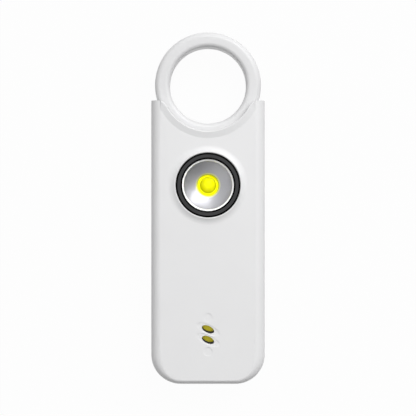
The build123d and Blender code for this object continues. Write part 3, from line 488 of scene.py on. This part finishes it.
def turning_tree():
    """Geometry Nodes that turn the vertices of an outline, kept as (radius, 0, height)."""
    tree, given = new_tree("turned_shape", Steps="Int", Centre="Vector", Weld="Float", Material="Material")

    # The grid has a column for each step, a row for each point, and one more of each.
    size = add_node(tree, "GeometryNodeAttributeDomainSize", {"Geometry": given["Geometry"]})
    count = size.outputs["Point Count"]
    rows = calculate(tree, "ADD", count, 1)
    columns = calculate(tree, "ADD", given["Steps"], 1)
    grid = add_node(tree, "GeometryNodeMeshGrid", {"Vertices X": columns, "Vertices Y": rows})

    # A vertex's index says its column and its row, and the row says which point it becomes.
    # Half a vertex more keeps the division clear of a whole number before it is cut down.
    index = add_node(tree, "GeometryNodeInputIndex").outputs["Index"]
    middle = calculate(tree, "ADD", index, HALF_A_VERTEX)
    column = calculate(tree, "FLOOR", calculate(tree, "DIVIDE", middle, rows), 0)
    row = calculate(tree, "SUBTRACT", index, calculate(tree, "MULTIPLY", column, rows))
    which = calculate(tree, "MODULO", row, count)
    position = add_node(tree, "GeometryNodeInputPosition").outputs["Position"]
    outline = {"Geometry": given["Geometry"], "Value": position, "Index": which}
    point = add_node(tree, "GeometryNodeSampleIndex", outline, data_type="FLOAT_VECTOR").outputs["Value"]

    # The point is carried round the axis to its column, and what falls together is welded.
    turn = calculate(tree, "MULTIPLY", calculate(tree, "DIVIDE", column, given["Steps"]), 2 * pi)
    round_axis = {"Vector": point, "Angle": turn}
    carried = add_node(tree, "ShaderNodeVectorRotate", round_axis, rotation_type="Z_AXIS").outputs["Vector"]
    place = add_node(tree, "ShaderNodeVectorMath", {0: carried, 1: given["Centre"]}, operation="ADD")
    bent = {"Geometry": grid.outputs["Mesh"], "Position": place.outputs["Vector"]}
    shape = add_node(tree, "GeometryNodeSetPosition", bent).outputs["Geometry"]
    loose = {"Geometry": shape, "Distance": given["Weld"]}
    closed = add_node(tree, "GeometryNodeMergeByDistance", loose).outputs["Geometry"]
    hand_out(tree, closed, given["Material"])
    return tree


turned_shape = turning_tree()
print("tree:", turned_shape.name, "with", len(turned_shape.nodes), "nodes")

# %% [markdown]
# A tree's result is live: it is worked out again whenever an input changes. The export wants a
# plain mesh, so the evaluated mesh is kept and the modifier taken off. The same is done after
# each cut or join, so that step is a helper of its own.

# %% Run a tree on a piece and keep the mesh


def new_piece(name, mesh):
    """An object of a mesh, in the scene, at the origin."""
    piece = bpy.data.objects.new(name, mesh)
    bpy.context.scene.collection.objects.link(piece)
    return piece


def make_plain(piece):
    """Put the mesh that a piece's modifiers give in their place."""
    bpy.context.view_layer.update()
    evaluated = piece.evaluated_get(bpy.context.evaluated_depsgraph_get())
    mesh = bpy.data.meshes.new_from_object(evaluated)
    piece.modifiers.clear()
    piece.data = mesh


def run_tree(piece, tree, inputs):
    """Run a tree on a piece with named inputs, and keep the result as a plain mesh."""
    modifier = piece.modifiers.new(tree.name, "NODES")
    modifier.node_group = tree
    for name, value in inputs.items():
        modifier[socket_of(tree, name)] = value
    make_plain(piece)


print("helpers for pieces are ready: new_piece, make_plain and run_tree")

# %% [markdown]
# A turned mesh can come out inside out, points that fall together leave faces with no area, and
# an outline that touches the axis leaves an edge there without faces. So each finished mesh is
# cleaned, its faces are pointed outwards, and its open edges are counted. A closed piece has
# none. Faces that meet gently are shaded as one curve.

# %% Clean a mesh and face it outwards
CREASE = radians(24)


def face_outwards(mesh):
    """Clean a closed mesh, point its faces outwards, and count the edges that are still open."""
    work = bmesh.new()
    work.from_mesh(mesh)
    bmesh.ops.dissolve_degenerate(work, dist=WELD, edges=work.edges)
    bmesh.ops.delete(work, geom=[edge for edge in work.edges if edge.is_wire], context="EDGES")
    bmesh.ops.recalc_face_normals(work, faces=work.faces)
    open_edges = sum(1 for edge in work.edges if not edge.is_manifold)
    work.to_mesh(mesh)
    work.free()
    mesh.shade_smooth()
    mesh.set_sharp_from_angle(angle=CREASE)
    return open_edges


print("edges are sharp from", round(CREASE, 3), "radians up")

# %% [markdown]
# With these helpers a turned piece is one call: an outline, the centre of its axis and a finish.
# Copying the calls for each piece would do, but a piece could then easily miss one of them.

# %% Turn one piece
TURN_STEPS = 160


def turned(name, outline, centre, material, steps=TURN_STEPS):
    """A turned piece from the points of its outline, in mm, about an upright axis."""
    mesh = bpy.data.meshes.new(name)
    mesh.from_pydata([(x * MM, 0, y * MM) for x, y in outline], [], [])
    piece = new_piece(name, mesh)
    run_tree(piece, turned_shape, {"Steps": steps, "Centre": centre, "Weld": WELD, "Material": material})
    open_edges = face_outwards(piece.data)
    print(name, "faces:", len(piece.data.polygons), "open edges:", open_edges)
    return piece


print("steps round an axis, where a piece doesn't say:", TURN_STEPS)

# %% [markdown]
# The pull ring is what a hand finds first. It is one moulding with its tongue, and the ring
# itself is a rounded bar carried round its eye, nearly as thick as the case. A torus would do for
# a wire ring. This bar is flat on both faces with rounded edges, so its outline is turned.

# %% Pull ring
EYE_RADIUS = 10.8
RING_OUTER_ROUND = 1.5
RING_EYE_ROUND = 1.2
RING_ROUND_STEPS = 10
RING_TURN_STEPS = 240
ring_low, ring_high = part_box("pull_ring")
ring_radius = (ring_high.x - ring_low.x) / 2 / MM
ring_centre = Vector((0, ring_high.y - ring_radius * MM, 0))
ring_bottom = ring_low.z / MM
ring_top = ring_high.z / MM
ring_corners = [
    (EYE_RADIUS, ring_bottom, RING_EYE_ROUND),
    (ring_radius, ring_bottom, RING_OUTER_ROUND),
    (ring_radius, ring_top, RING_OUTER_ROUND),
    (EYE_RADIUS, ring_top, RING_EYE_ROUND),
]
ring_outline = rounded(ring_corners, RING_ROUND_STEPS)
ring = turned("pull_ring_moulding", ring_outline, ring_centre, ring_white, RING_TURN_STEPS)

# %% [markdown]
# The tongue is a flat strip with a thin tip. It reaches into the case between the clip's legs and
# holds the leaf switch open, until the ring is pulled. It isn't round, so its side is drawn once
# and pushed out to its width. A small bevel breaks its edges, as on any moulding.

# %% Tongue of the ring
TONGUE_HALF_WIDTH = 3.5
TONGUE_THICKNESS = 1.8
TONGUE_TOP = 6.1
TONGUE_TIP_LENGTH = 3.4
TONGUE_TIP_THICKNESS = 1.0
TONGUE_RAMP = 0.8
TONGUE_ROOT = 2.0
TONGUE_BEVEL = 0.12
TONGUE_BEVEL_STEPS = 2


def tongue_side():
    """The tongue's outline from the side, as points of (y, z) in mm."""
    tip = ring_low.y / MM
    root = ring_centre.y / MM - ring_radius + TONGUE_ROOT
    bottom = TONGUE_TOP - TONGUE_THICKNESS
    step = TONGUE_TOP - TONGUE_TIP_THICKNESS
    return [
        (tip, TONGUE_TOP),
        (tip, step),
        (tip + TONGUE_TIP_LENGTH, step),
        (tip + TONGUE_TIP_LENGTH + TONGUE_RAMP, bottom),
        (root, bottom),
        (root, TONGUE_TOP),
    ]


def tongue_mesh():
    """The side outline, drawn out to the tongue's width with slightly softened edges."""
    work = bmesh.new()
    side = [work.verts.new((-TONGUE_HALF_WIDTH * MM, y * MM, z * MM)) for y, z in tongue_side()]
    face = work.faces.new(side)
    drawn = bmesh.ops.extrude_face_region(work, geom=[face])
    moved = [item for item in drawn["geom"] if isinstance(item, bmesh.types.BMVert)]
    bmesh.ops.translate(work, vec=(2 * TONGUE_HALF_WIDTH * MM, 0, 0), verts=moved)
    bmesh.ops.recalc_face_normals(work, faces=work.faces)
    bmesh.ops.bevel(
        work, geom=work.edges, offset=TONGUE_BEVEL * MM, segments=TONGUE_BEVEL_STEPS, affect="EDGES"
    )
    mesh = bpy.data.meshes.new("tongue")
    work.to_mesh(mesh)
    work.free()
    mesh.materials.append(ring_white)
    return mesh


tongue = new_piece("tongue", tongue_mesh())
print("tongue faces:", len(tongue.data.polygons))

# %% [markdown]
# Ring and tongue are one moulding, so they are joined to one closed skin. They could just be left
# one in the other, but then each would keep faces inside the other. The exact Boolean removes
# them. The same helper cuts the recesses of the screws further down.

# %% Join the tongue to the ring


def combine(piece, other, operation, crossed=False):
    """Join another piece to one, or cut it out. Crossed says that the other crosses itself."""
    modifier = piece.modifiers.new("combine", "BOOLEAN")
    modifier.operation = operation
    modifier.solver = "EXACT"
    modifier.use_self = crossed
    modifier.object = other
    make_plain(piece)
    bpy.data.objects.remove(other)


combine(ring, tongue, "UNION")
print("ring with tongue, open edges:", face_outwards(ring.data))
flatten_large_faces(ring)
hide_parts("pull_ring")
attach(ring, "ring")

# %% [markdown]
# The torch is a stack. A black bezel clamps a clear lens on a metallised dish, and the light
# source stands on the board in the dish's neck. The frame's boxes give the bezel, the lens and
# their common axis. The bezel's own outline has a wide flange that is caught under the front
# shell, and a collar with small rounds that shows.

# %% Shape of the torch bezel
BEZEL_RADIUS = 9.05
BEZEL_OPENING = 7.25
BEZEL_FLANGE_THICKNESS = 0.6
BEZEL_ROUND = 0.28
SMALL_ROUND = 0.1
LENS_FIT = 0.1
torch_low, torch_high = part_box("torch_lens")
torch_centre = Vector(((torch_low.x + torch_high.x) / 2, (torch_low.y + torch_high.y) / 2, 0))
lens_radius = (torch_high.x - torch_low.x) / 2 / MM
lens_rear = torch_low.z / MM
lens_front = torch_high.z / MM
bezel_low, bezel_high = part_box("torch_bezel")
bezel_flange = (bezel_high.x - bezel_low.x) / 2 / MM
bezel_rear = bezel_low.z / MM
bezel_front = bezel_high.z / MM
flange_top = bezel_rear + BEZEL_FLANGE_THICKNESS
bezel_corners = [
    (lens_radius + LENS_FIT, bezel_rear, SMALL_ROUND),
    (bezel_flange, bezel_rear, SMALL_ROUND),
    (bezel_flange, flange_top, SMALL_ROUND),
    (BEZEL_RADIUS, flange_top, 0),
    (BEZEL_RADIUS, bezel_front, BEZEL_ROUND),
    (BEZEL_OPENING, bezel_front, BEZEL_ROUND),
    (BEZEL_OPENING, lens_front, SMALL_ROUND),
    (lens_radius + LENS_FIT, lens_front, 0),
]
print("torch axis, in mm:", [round(v / MM, 2) for v in torch_centre.xy])
print("lens radius:", round(lens_radius, 2), "bezel from", round(bezel_rear, 2), "to", round(bezel_front, 2))

# %% [markdown]
# Round the torch's axis light and shade are painted into the finishes in bands: painted shade
# on the bezel's edges, a painted yellow reflection at the dish's neck and a painted highlight on
# its lip, and painted shade at the foot of the light source's dome. A picture could be painted for
# each. A ramp by the distance from the axis does it for all three pieces, stays sharp at any size,
# and is told by a few radii.

# %% Bands of tone round an axis


def radius_bands(tree, centre, stops):
    """A tone by the distance from an upright axis, from stops of (radius in mm, tone)."""
    first = stops[0][0]
    last = stops[-1][0]
    place = add_node(tree, "ShaderNodeTexCoord").outputs["Object"]
    shift = {"Vector": place, "Location": (-centre.x, -centre.y, 0)}
    from_axis = add_node(tree, "ShaderNodeMapping", shift, vector_type="POINT").outputs["Vector"]
    flat = add_node(tree, "ShaderNodeVectorMath", {0: from_axis, 1: (1, 1, 0)}, operation="MULTIPLY")
    distance = add_node(tree, "ShaderNodeVectorMath", {0: flat.outputs["Vector"]}, operation="LENGTH")
    reach = {"Value": distance.outputs["Value"], "From Min": first * MM, "From Max": last * MM}
    share = add_node(tree, "ShaderNodeMapRange", reach).outputs["Result"]
    ramp = add_node(tree, "ShaderNodeValToRGB", {"Fac": share})
    elements = ramp.color_ramp.elements
    elements.remove(elements[1])
    for index, (radius, tone) in enumerate(stops):
        position = (radius - first) / (last - first)
        stop = elements[0] if index == 0 else elements.new(position)
        stop.position = position
        stop.color = (*tone, 1) if isinstance(tone, tuple) else (tone, tone, tone, 1)
    return ramp.outputs["Color"]


def banded(material, centre, stops):
    """Multiply a finish's colour by bands round an axis."""
    tree = material.node_tree
    tint = tree.nodes["tint"].outputs["Result"]
    colours = {"Factor": 1.0, "A": tint, "B": radius_bands(tree, centre, stops)}
    times = add_node(tree, "ShaderNodeMix", colours, data_type="RGBA", blend_type="MULTIPLY")
    tune(material, {"Base Color": times.outputs["Result"]})


print("helpers for bands are ready: radius_bands and banded")

# %% [markdown]
# The bezel is black plastic, and its rounded edges are painted darker than its flat land, as
# painted shade. In this white studio an ordinary sheen would turn black to grey, so its index is
# kept low, as if it were coated.

# %% Torch bezel
BEZEL_EDGE_SHADE_WIDTH = 0.42
EDGE_SHADE_BLEND = 0.1
EDGE_SHADE_TONE = 0.0
COATED_INDEX = 1.08
bezel_black = finish("bezel_black", colour=(0.058, 0.058, 0.06), roughness=0.38, drift=0.05, seed=8)
tune(bezel_black, {"IOR": COATED_INDEX})
edge_shade_in = BEZEL_OPENING + BEZEL_EDGE_SHADE_WIDTH
edge_shade_out = BEZEL_RADIUS - BEZEL_EDGE_SHADE_WIDTH
# Painted shade: the tone falls to black on both rounded edges of the bezel.
bezel_edge_shade = [
    (BEZEL_OPENING, EDGE_SHADE_TONE),
    (edge_shade_in, EDGE_SHADE_TONE),
    (edge_shade_in + EDGE_SHADE_BLEND, 1),
    (edge_shade_out - EDGE_SHADE_BLEND, 1),
    (edge_shade_out, EDGE_SHADE_TONE),
]
banded(bezel_black, torch_centre, bezel_edge_shade)
bezel = turned("torch_bezel_ring", rounded(bezel_corners), torch_centre, bezel_black)
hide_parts("torch_bezel")
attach(bezel, "case")

# %% [markdown]
# The lens is a clear acrylic disc with a little wear. Light for the dish comes through it, and a
# real refracting disc would block the lamps' direct rays, so it is transparent to shadow rays. It
# could be left out, as it hardly shows, but then the torch would look like an open hole from the
# side.

# %% Clear acrylic
LENS_WEAR_SIZE = 3.0
LENS_WEAR = (0.01, 0.04)
LENS_WEAR_SEED = 11
LENS_SHEEN = 0.1


def clear_plastic(name):
    """Clear acrylic that lets lamp light through to what is behind it."""
    material = bpy.data.materials.new(name)
    material.use_nodes = True
    tree = material.node_tree
    shader = tree.nodes["Principled BSDF"]
    wear = ranged(tree, noise(tree, LENS_WEAR_SIZE, LENS_WEAR_SEED), *LENS_WEAR)
    sheen = {"IOR": COATED_INDEX, "Specular IOR Level": LENS_SHEEN, "Roughness": wear}
    feed(tree, shader, {"Base Color": (1, 1, 1, 1), "Transmission Weight": 1.0, **sheen})
    through = add_node(tree, "ShaderNodeBsdfTransparent")
    mixed = {"Fac": any_ray(tree, SHADOW_RAYS), 1: shader.outputs[0], 2: through.outputs[0]}
    surface = add_node(tree, "ShaderNodeMixShader", mixed).outputs[0]
    feed(tree, tree.nodes["Material Output"], {"Surface": surface})
    return material


clear_lens = clear_plastic("clear_lens")
print("clear finish:", clear_lens.name, "wear from", LENS_WEAR[0], "to", LENS_WEAR[1])

# %% [markdown]
# The disc itself is turned like the bezel, from half its outline, which starts and ends on the
# axis. Its edge is only just broken, as a cut disc's is.

# %% Torch lens
LENS_ROUND = 0.08
lens_corners = [
    (0, lens_rear, 0),
    (lens_radius, lens_rear, LENS_ROUND),
    (lens_radius, lens_front, LENS_ROUND),
    (0, lens_front, 0),
]
lens = turned("torch_lens_disc", rounded(lens_corners), torch_centre, clear_lens)
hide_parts("torch_lens")
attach(lens, "case")

# %% [markdown]
# The dish is moulded plastic with a thin coat of aluminium, so it mirrors softly. Near the neck
# the metal mirrors the yellow of the light source, and a painted reflection, a yellow band in its
# colour, adds to that. At the mouth its lip is painted bright, as a painted highlight. Real
# reflections alone gave too weak a yellow, because the coat is rough, so the bands of tone were
# chosen.

# %% Metallised finish of the dish
NECK_RADIUS = 3.1
MOUTH_RADIUS = 6.83
DISH_LIP = 0.1
PAINTED_YELLOW_WIDTH = 0.5
BOWL_TONE = (0.395, 0.395, 0.42)
NECK_PAINTED_YELLOW = (0.75, 0.75, 0.12)
reflector_metal = finish("reflector_metal", (0.97, 0.97, 0.97), 0.42, metal=1.0, depth=0.0006, seed=14)
# A painted yellow reflection at the neck and a painted highlight on the lip, round the bowl's own grey.
dish_tones_and_painted_light = [
    (NECK_RADIUS, NECK_PAINTED_YELLOW),
    (NECK_RADIUS + PAINTED_YELLOW_WIDTH, BOWL_TONE),
    (MOUTH_RADIUS - DISH_LIP, BOWL_TONE),
    (MOUTH_RADIUS, 1),
    (lens_radius, 1),
]
banded(reflector_metal, torch_centre, dish_tones_and_painted_light)
print("dish finish:", reflector_metal.name, "in", len(dish_tones_and_painted_light), "stops")

# %% [markdown]
# The bowl of the dish and the dome of the light source are both shallow curves, told by where they
# start, where they end and their radius. The centre of such an arc lies on the line that halves
# its chord, and Pythagoras says how far from it.

# %% Arc from a start to an end


def shallow_arc(start, end, radius, steps):
    """Points of an arc of a radius that bulges outwards from a start to an end."""
    start = Vector(start)
    end = Vector(end)
    chord = end - start
    across = Vector((chord.y, -chord.x)).normalized()
    centre = (start + end) / 2 - across * (radius ** 2 - (chord.length / 2) ** 2) ** 0.5
    return arc(centre, start, end, steps)


print("a quarter circle of radius 1 has its middle at", shallow_arc((1, 0), (0, 1), 1, 2)[1][:])

# %% [markdown]
# The dish is a short neck round the light source with a shallow bowl above it and a flat flange
# under the lens. The front and the back of the bowl are arcs of the same large radius, so the
# wall keeps its thickness. A parabola would throw a truer beam, but at this depth it can't be
# told from an arc, and an arc is one radius.

# %% Dish of the torch
DISH_WALL = 0.6
DISH_FLANGE = 0.5
NECK_HEIGHT = 1.6
BOWL_STEPS = 24
BOWL_RADIUS = 2 * MOUTH_RADIUS
dish_low, dish_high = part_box("torch_reflector")
dish_rear = dish_low.z / MM
dish_front = dish_high.z / MM
flange_rear = dish_front - DISH_FLANGE
neck_outside = NECK_RADIUS + DISH_WALL
neck_top = (NECK_RADIUS, dish_rear + NECK_HEIGHT)
neck_shoulder = (neck_outside, dish_rear + NECK_HEIGHT - DISH_FLANGE)
mouth_front = (MOUTH_RADIUS, dish_front - DISH_LIP)
mouth_rear = (MOUTH_RADIUS + DISH_WALL, flange_rear)
bowl_front = shallow_arc(neck_top, mouth_front, BOWL_RADIUS, BOWL_STEPS)
bowl_rear = shallow_arc(neck_shoulder, mouth_rear, BOWL_RADIUS, BOWL_STEPS)
flange = [(MOUTH_RADIUS + DISH_LIP, dish_front), (lens_radius, dish_front), (lens_radius, flange_rear)]
neck = [(neck_outside, dish_rear), (NECK_RADIUS, dish_rear)]
dish_outline = bowl_front + flange + bowl_rear[::-1] + neck
dish = turned("torch_dish", dish_outline, torch_centre, reflector_metal)
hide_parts("torch_reflector")
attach(dish, "case")

# %% [markdown]
# The light source is a disc of clear gel with a low dome on it, and both are full of yellow
# phosphor. Its size comes from the frame. The phosphor turns blue light into yellow and glows a
# little in any light, and a faint emission stands for that as a painted glow, the same in any
# light. Painted shade makes the dome darker towards its foot, and that is what tells it from the
# flat disc round it.

# %% Finish of the light source
LED_DOME_RADIUS = 2.2
LED_PAINTED_SHADE_WIDTH = 0.35
LED_PAINTED_SHADE_FADE = 0.2
LED_CROWN_PAINTED_SHADE = 0.9
LED_SLOPE_PAINTED_SHADE = 0.76
LED_FOOT_PAINTED_SHADE = 0.48
LED_SHEEN = 0.04
LED_PAINTED_GLOW = 0.04
LED_PAINTED_GLOW_COLOUR = (1.0, 0.97, 0.004, 1)
led_low, led_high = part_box("led_dome")
disc_radius = (led_high.x - led_low.x) / 2 / MM
led_phosphor = finish("led_phosphor", (0.80, 0.78, 0.003), 0.3, depth=0.001, drift=0.03, seed=17)
tune(led_phosphor, {"Specular IOR Level": LED_SHEEN})
# A painted glow of the phosphor, as strong in any light.
tune(led_phosphor, {"Emission Color": LED_PAINTED_GLOW_COLOUR, "Emission Strength": LED_PAINTED_GLOW})
# Painted shade: darker from the crown down to the dome's foot, then full tone on the disc.
led_painted_shade = [
    (0, LED_CROWN_PAINTED_SHADE),
    (LED_DOME_RADIUS - LED_PAINTED_SHADE_WIDTH, LED_SLOPE_PAINTED_SHADE),
    (LED_DOME_RADIUS, LED_FOOT_PAINTED_SHADE),
    (LED_DOME_RADIUS + LED_PAINTED_SHADE_FADE, 1),
    (disc_radius, 1),
]
banded(led_phosphor, torch_centre, led_painted_shade)
print("light source finish:", led_phosphor.name, "disc radius:", round(disc_radius, 2))

# %% [markdown]
# The dome is a slice of a sphere, and the sphere's radius follows from the dome's width and rise.
# A flattened sphere would be too steep at its foot, so an arc is part of the outline instead.

# %% Light source
LED_DISC_HEIGHT = 0.25
LED_DOME_STEPS = 12
LED_TURN_STEPS = 96
led_rear = led_low.z / MM
led_front = led_high.z / MM
led_shoulder = led_rear + LED_DISC_HEIGHT
dome_rise = led_front - led_shoulder
dome_curve = (LED_DOME_RADIUS ** 2 + dome_rise ** 2) / (2 * dome_rise)
crown = shallow_arc((LED_DOME_RADIUS, led_shoulder), (0, led_front), dome_curve, LED_DOME_STEPS)
crown[-1].x = 0
led_outline = [(0, led_rear), (disc_radius, led_rear), (disc_radius, led_shoulder)] + crown
led = turned("led_phosphor_dome", led_outline, torch_centre, led_phosphor, LED_TURN_STEPS)
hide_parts("led_dome")
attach(led, "case")

# %% [markdown]
# Four screws hold the shells together from behind, and two hold the board. Where they stand could
# be typed in, but then a change of the solids would leave them behind. So it is read from the
# frame: each loose solid of a node is one screw, and its box gives its size and its place.

# %% Find the screws in the frame


def solids_of(node):
    """The box of each separate solid of a node, as pairs of its lowest and highest corner."""
    work = bmesh.new()
    work.from_mesh(frame["nodes"][node].data)
    bmesh.ops.remove_doubles(work, verts=work.verts, dist=WELD)
    left = set(work.verts)
    boxes = []
    while left:
        group = {left.pop()}
        edge_of_group = set(group)
        while edge_of_group:
            reached = {e.other_vert(v) for v in edge_of_group for e in v.link_edges} - group
            group |= reached
            edge_of_group = reached
        left -= group
        low = Vector([min(v.co[axis] for v in group) for axis in range(3)])
        high = Vector([max(v.co[axis] for v in group) for axis in range(3)])
        boxes.append((low, high))
    work.free()
    return sorted(boxes, key=lambda box: tuple(box[0]))


screw_boxes = {node: solids_of(node) for node in ("housing_screws", "board_screws")}
print("screws:", {node: len(boxes) for node, boxes in screw_boxes.items()})

# %% [markdown]
# The head has a cross recess for the driver: two bars that cross and narrow inwards. They are
# made from two cubes, one long in x and one long in y, and later cut out of the head. At this
# size the rounded corners of a real recess don't show, so flat sides are enough.

# %% Cross recess
RECESS_ARM = 0.85
RECESS_HALF_WIDTH = 0.2
RECESS_DEPTH = 0.5
RECESS_TAPER = 0.7


def cross_recess():
    """Two crossed bars through height zero, where the head begins, that narrow into it."""
    work = bmesh.new()
    for long_axis in (0, 1):
        # A cube of size 2 reaches 1 each way, so each factor below is a half length.
        for vertex in bmesh.ops.create_cube(work, size=2.0)["verts"]:
            deep = vertex.co.z > 0
            vertex.co[long_axis] *= RECESS_ARM * MM * (RECESS_TAPER if deep else 1.0)
            vertex.co[1 - long_axis] *= RECESS_HALF_WIDTH * MM
            vertex.co.z = (RECESS_DEPTH if deep else -RECESS_DEPTH) * MM
    mesh = bpy.data.meshes.new("cross_recess")
    work.to_mesh(mesh)
    work.free()
    return mesh


print("recess", 2 * RECESS_ARM, "mm across and", RECESS_DEPTH, "mm deep")

# %% [markdown]
# One screw of each kind is turned like the pieces above, with a flat head, a plain shank and a
# blunt tip. Its thread sits in the plastic, where nobody sees it, so none is cut.

# %% One screw
HEAD_HEIGHT = 1.0
HEAD_EDGE_ROUND = 0.25
SHANK_RADIUS = 0.8
SCREW_TIP_BEVEL = 0.35
SCREW_ROUND_STEPS = 4
SCREW_TURN_STEPS = 48
screw_steel = finish("screw_steel", (0.56, 0.56, 0.57), 0.3, metal=1.0, drift=0.03, seed=62)


def screw_piece(name, head_radius, length):
    """A screw along +Z, with the outer face of its head at height zero. Sizes in mm."""
    corners = [
        (0, 0, 0),
        (head_radius, 0, HEAD_EDGE_ROUND),
        (head_radius, HEAD_HEIGHT, 0),
        (SHANK_RADIUS, HEAD_HEIGHT, 0),
        (SHANK_RADIUS, length - SCREW_TIP_BEVEL, 0),
        (SHANK_RADIUS - SCREW_TIP_BEVEL, length, 0),
        (0, length, 0),
    ]
    outline = rounded(corners, SCREW_ROUND_STEPS)
    piece = turned(name, outline, (0, 0, 0), screw_steel, SCREW_TURN_STEPS)
    combine(piece, new_piece(name + "_recess", cross_recess()), "DIFFERENCE", crossed=True)
    return piece


print("screw finish:", screw_steel.name, "shank radius:", SHANK_RADIUS)

# %% [markdown]
# The screws of a kind are all alike, so one model is set on many places. Copying the object four
# times would work too. A tree was chosen because it takes the places as the vertices of a small
# mesh, and gives one mesh back.

# %% Tree that sets a piece on places


def placing_tree():
    """Geometry Nodes that set a piece on every vertex of a mesh."""
    tree, given = new_tree("set_on_places", Piece="Object", Material="Material")
    shape = add_node(tree, "GeometryNodeObjectInfo", {"Object": given["Piece"]}).outputs["Geometry"]
    spots = {"Points": given["Geometry"], "Instance": shape}
    placed = add_node(tree, "GeometryNodeInstanceOnPoints", spots).outputs["Instances"]
    hand_out(tree, placed, given["Material"])
    return tree


set_on_places = placing_tree()
print("tree:", set_on_places.name, "with", len(set_on_places.nodes), "nodes")

# %% [markdown]
# Each place is at the outer face of a screw's head, in the middle of its box. When the screws are
# set, the model has done its work and goes.

# %% Screws of the case and of the board
for node, boxes in screw_boxes.items():
    low, high = boxes[0]
    model = screw_piece(node + "_model", (high.x - low.x) / 2 / MM, (high.z - low.z) / MM)
    places = bpy.data.meshes.new(node)
    places.from_pydata([((a.x + b.x) / 2, (a.y + b.y) / 2, a.z) for a, b in boxes], [], [])
    screws = new_piece(node + "_set", places)
    run_tree(screws, set_on_places, {"Piece": model, "Material": screw_steel})
    bpy.data.objects.remove(model)
    print(node, len(boxes), "screws, open edges:", face_outwards(screws.data))
    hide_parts(node)
    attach(screws, "case")

# %% [markdown]
# Two inner pieces show through the sound holes: the sounder's brass plate and the dark gasket
# next to it. The others show only when the case is open, so they need no finer shape than the
# frame gives them. Each still gets the finish of its own stuff, from enamelled copper wire to
# grey foam, by the same function as the case.

# %% Finishes of the inner pieces
INNER_FINISHES = {
    "piezo_brass": finish(
        "piezo_brass", (0.66, 0.57, 0.04), 0.4, metal=0.8, depth=0.003, drift=0.06, seed=20
    ),
    "led_base_white": finish("led_base_white", (0.75, 0.75, 0.70), 0.4, seed=23),
    "board_green": finish("board_green", (0.02, 0.16, 0.05), 0.35, depth=0.006, seed=26),
    "component_black": finish("component_black", (0.03, 0.03, 0.033), 0.55, seed=29),
    "capacitor_tan": finish("capacitor_tan", (0.45, 0.30, 0.16), 0.5, seed=32),
    "ferrite": finish("ferrite", (0.05, 0.048, 0.046), 0.6, seed=35),
    "copper": finish("copper", (0.80, 0.36, 0.16), 0.3, metal=1.0, seed=38),
    "spring_steel": finish("spring_steel", (0.60, 0.60, 0.60), 0.28, metal=1.0, seed=41),
    "contact_brass": finish("contact_brass", (0.78, 0.60, 0.25), 0.3, metal=1.0, seed=44),
    "cell_steel": finish("cell_steel", (0.66, 0.66, 0.67), 0.26, metal=1.0, seed=47),
    "ceramic_cream": finish("ceramic_cream", (0.72, 0.68, 0.56), 0.55, seed=50),
    "foam_grey": finish("foam_grey", (0.22, 0.22, 0.22), 0.9, grain=0.4, depth=0.03, seed=53),
    # Near black: through each sound hole the gasket shows as a dark crescent, a dark piece set where the
    # hole's edge is in shade.
    "gasket_black": finish("gasket_black", (0.006, 0.006, 0.006), 0.7, seed=65),
    "lead_red": finish("lead_red", (0.55, 0.02, 0.015), 0.45, seed=56),
    "lead_black": finish("lead_black", (0.02, 0.02, 0.02), 0.45, seed=59),
}
print("finishes of inner pieces:", len(INNER_FINISHES))

# %% [markdown]
# The record of the part says which finish each piece takes, so no list of pieces is written here.
# A piece that was made again is hidden in the frame, and that is how it is left out.

# %% Dress the inner pieces
slot_of = {part["node"]: part["material_slot"] for part in frame["record"]["subparts"]}
replaced = {name for name, piece in frame["nodes"].items() if piece.hide_render}
inner_nodes = sorted(set(frame["nodes"]) - replaced - set(SHELLS))
for node in inner_nodes:
    keep(node, INNER_FINISHES[slot_of[node]])
print("made again:", len(replaced), "and dressed inside:", len(inner_nodes))
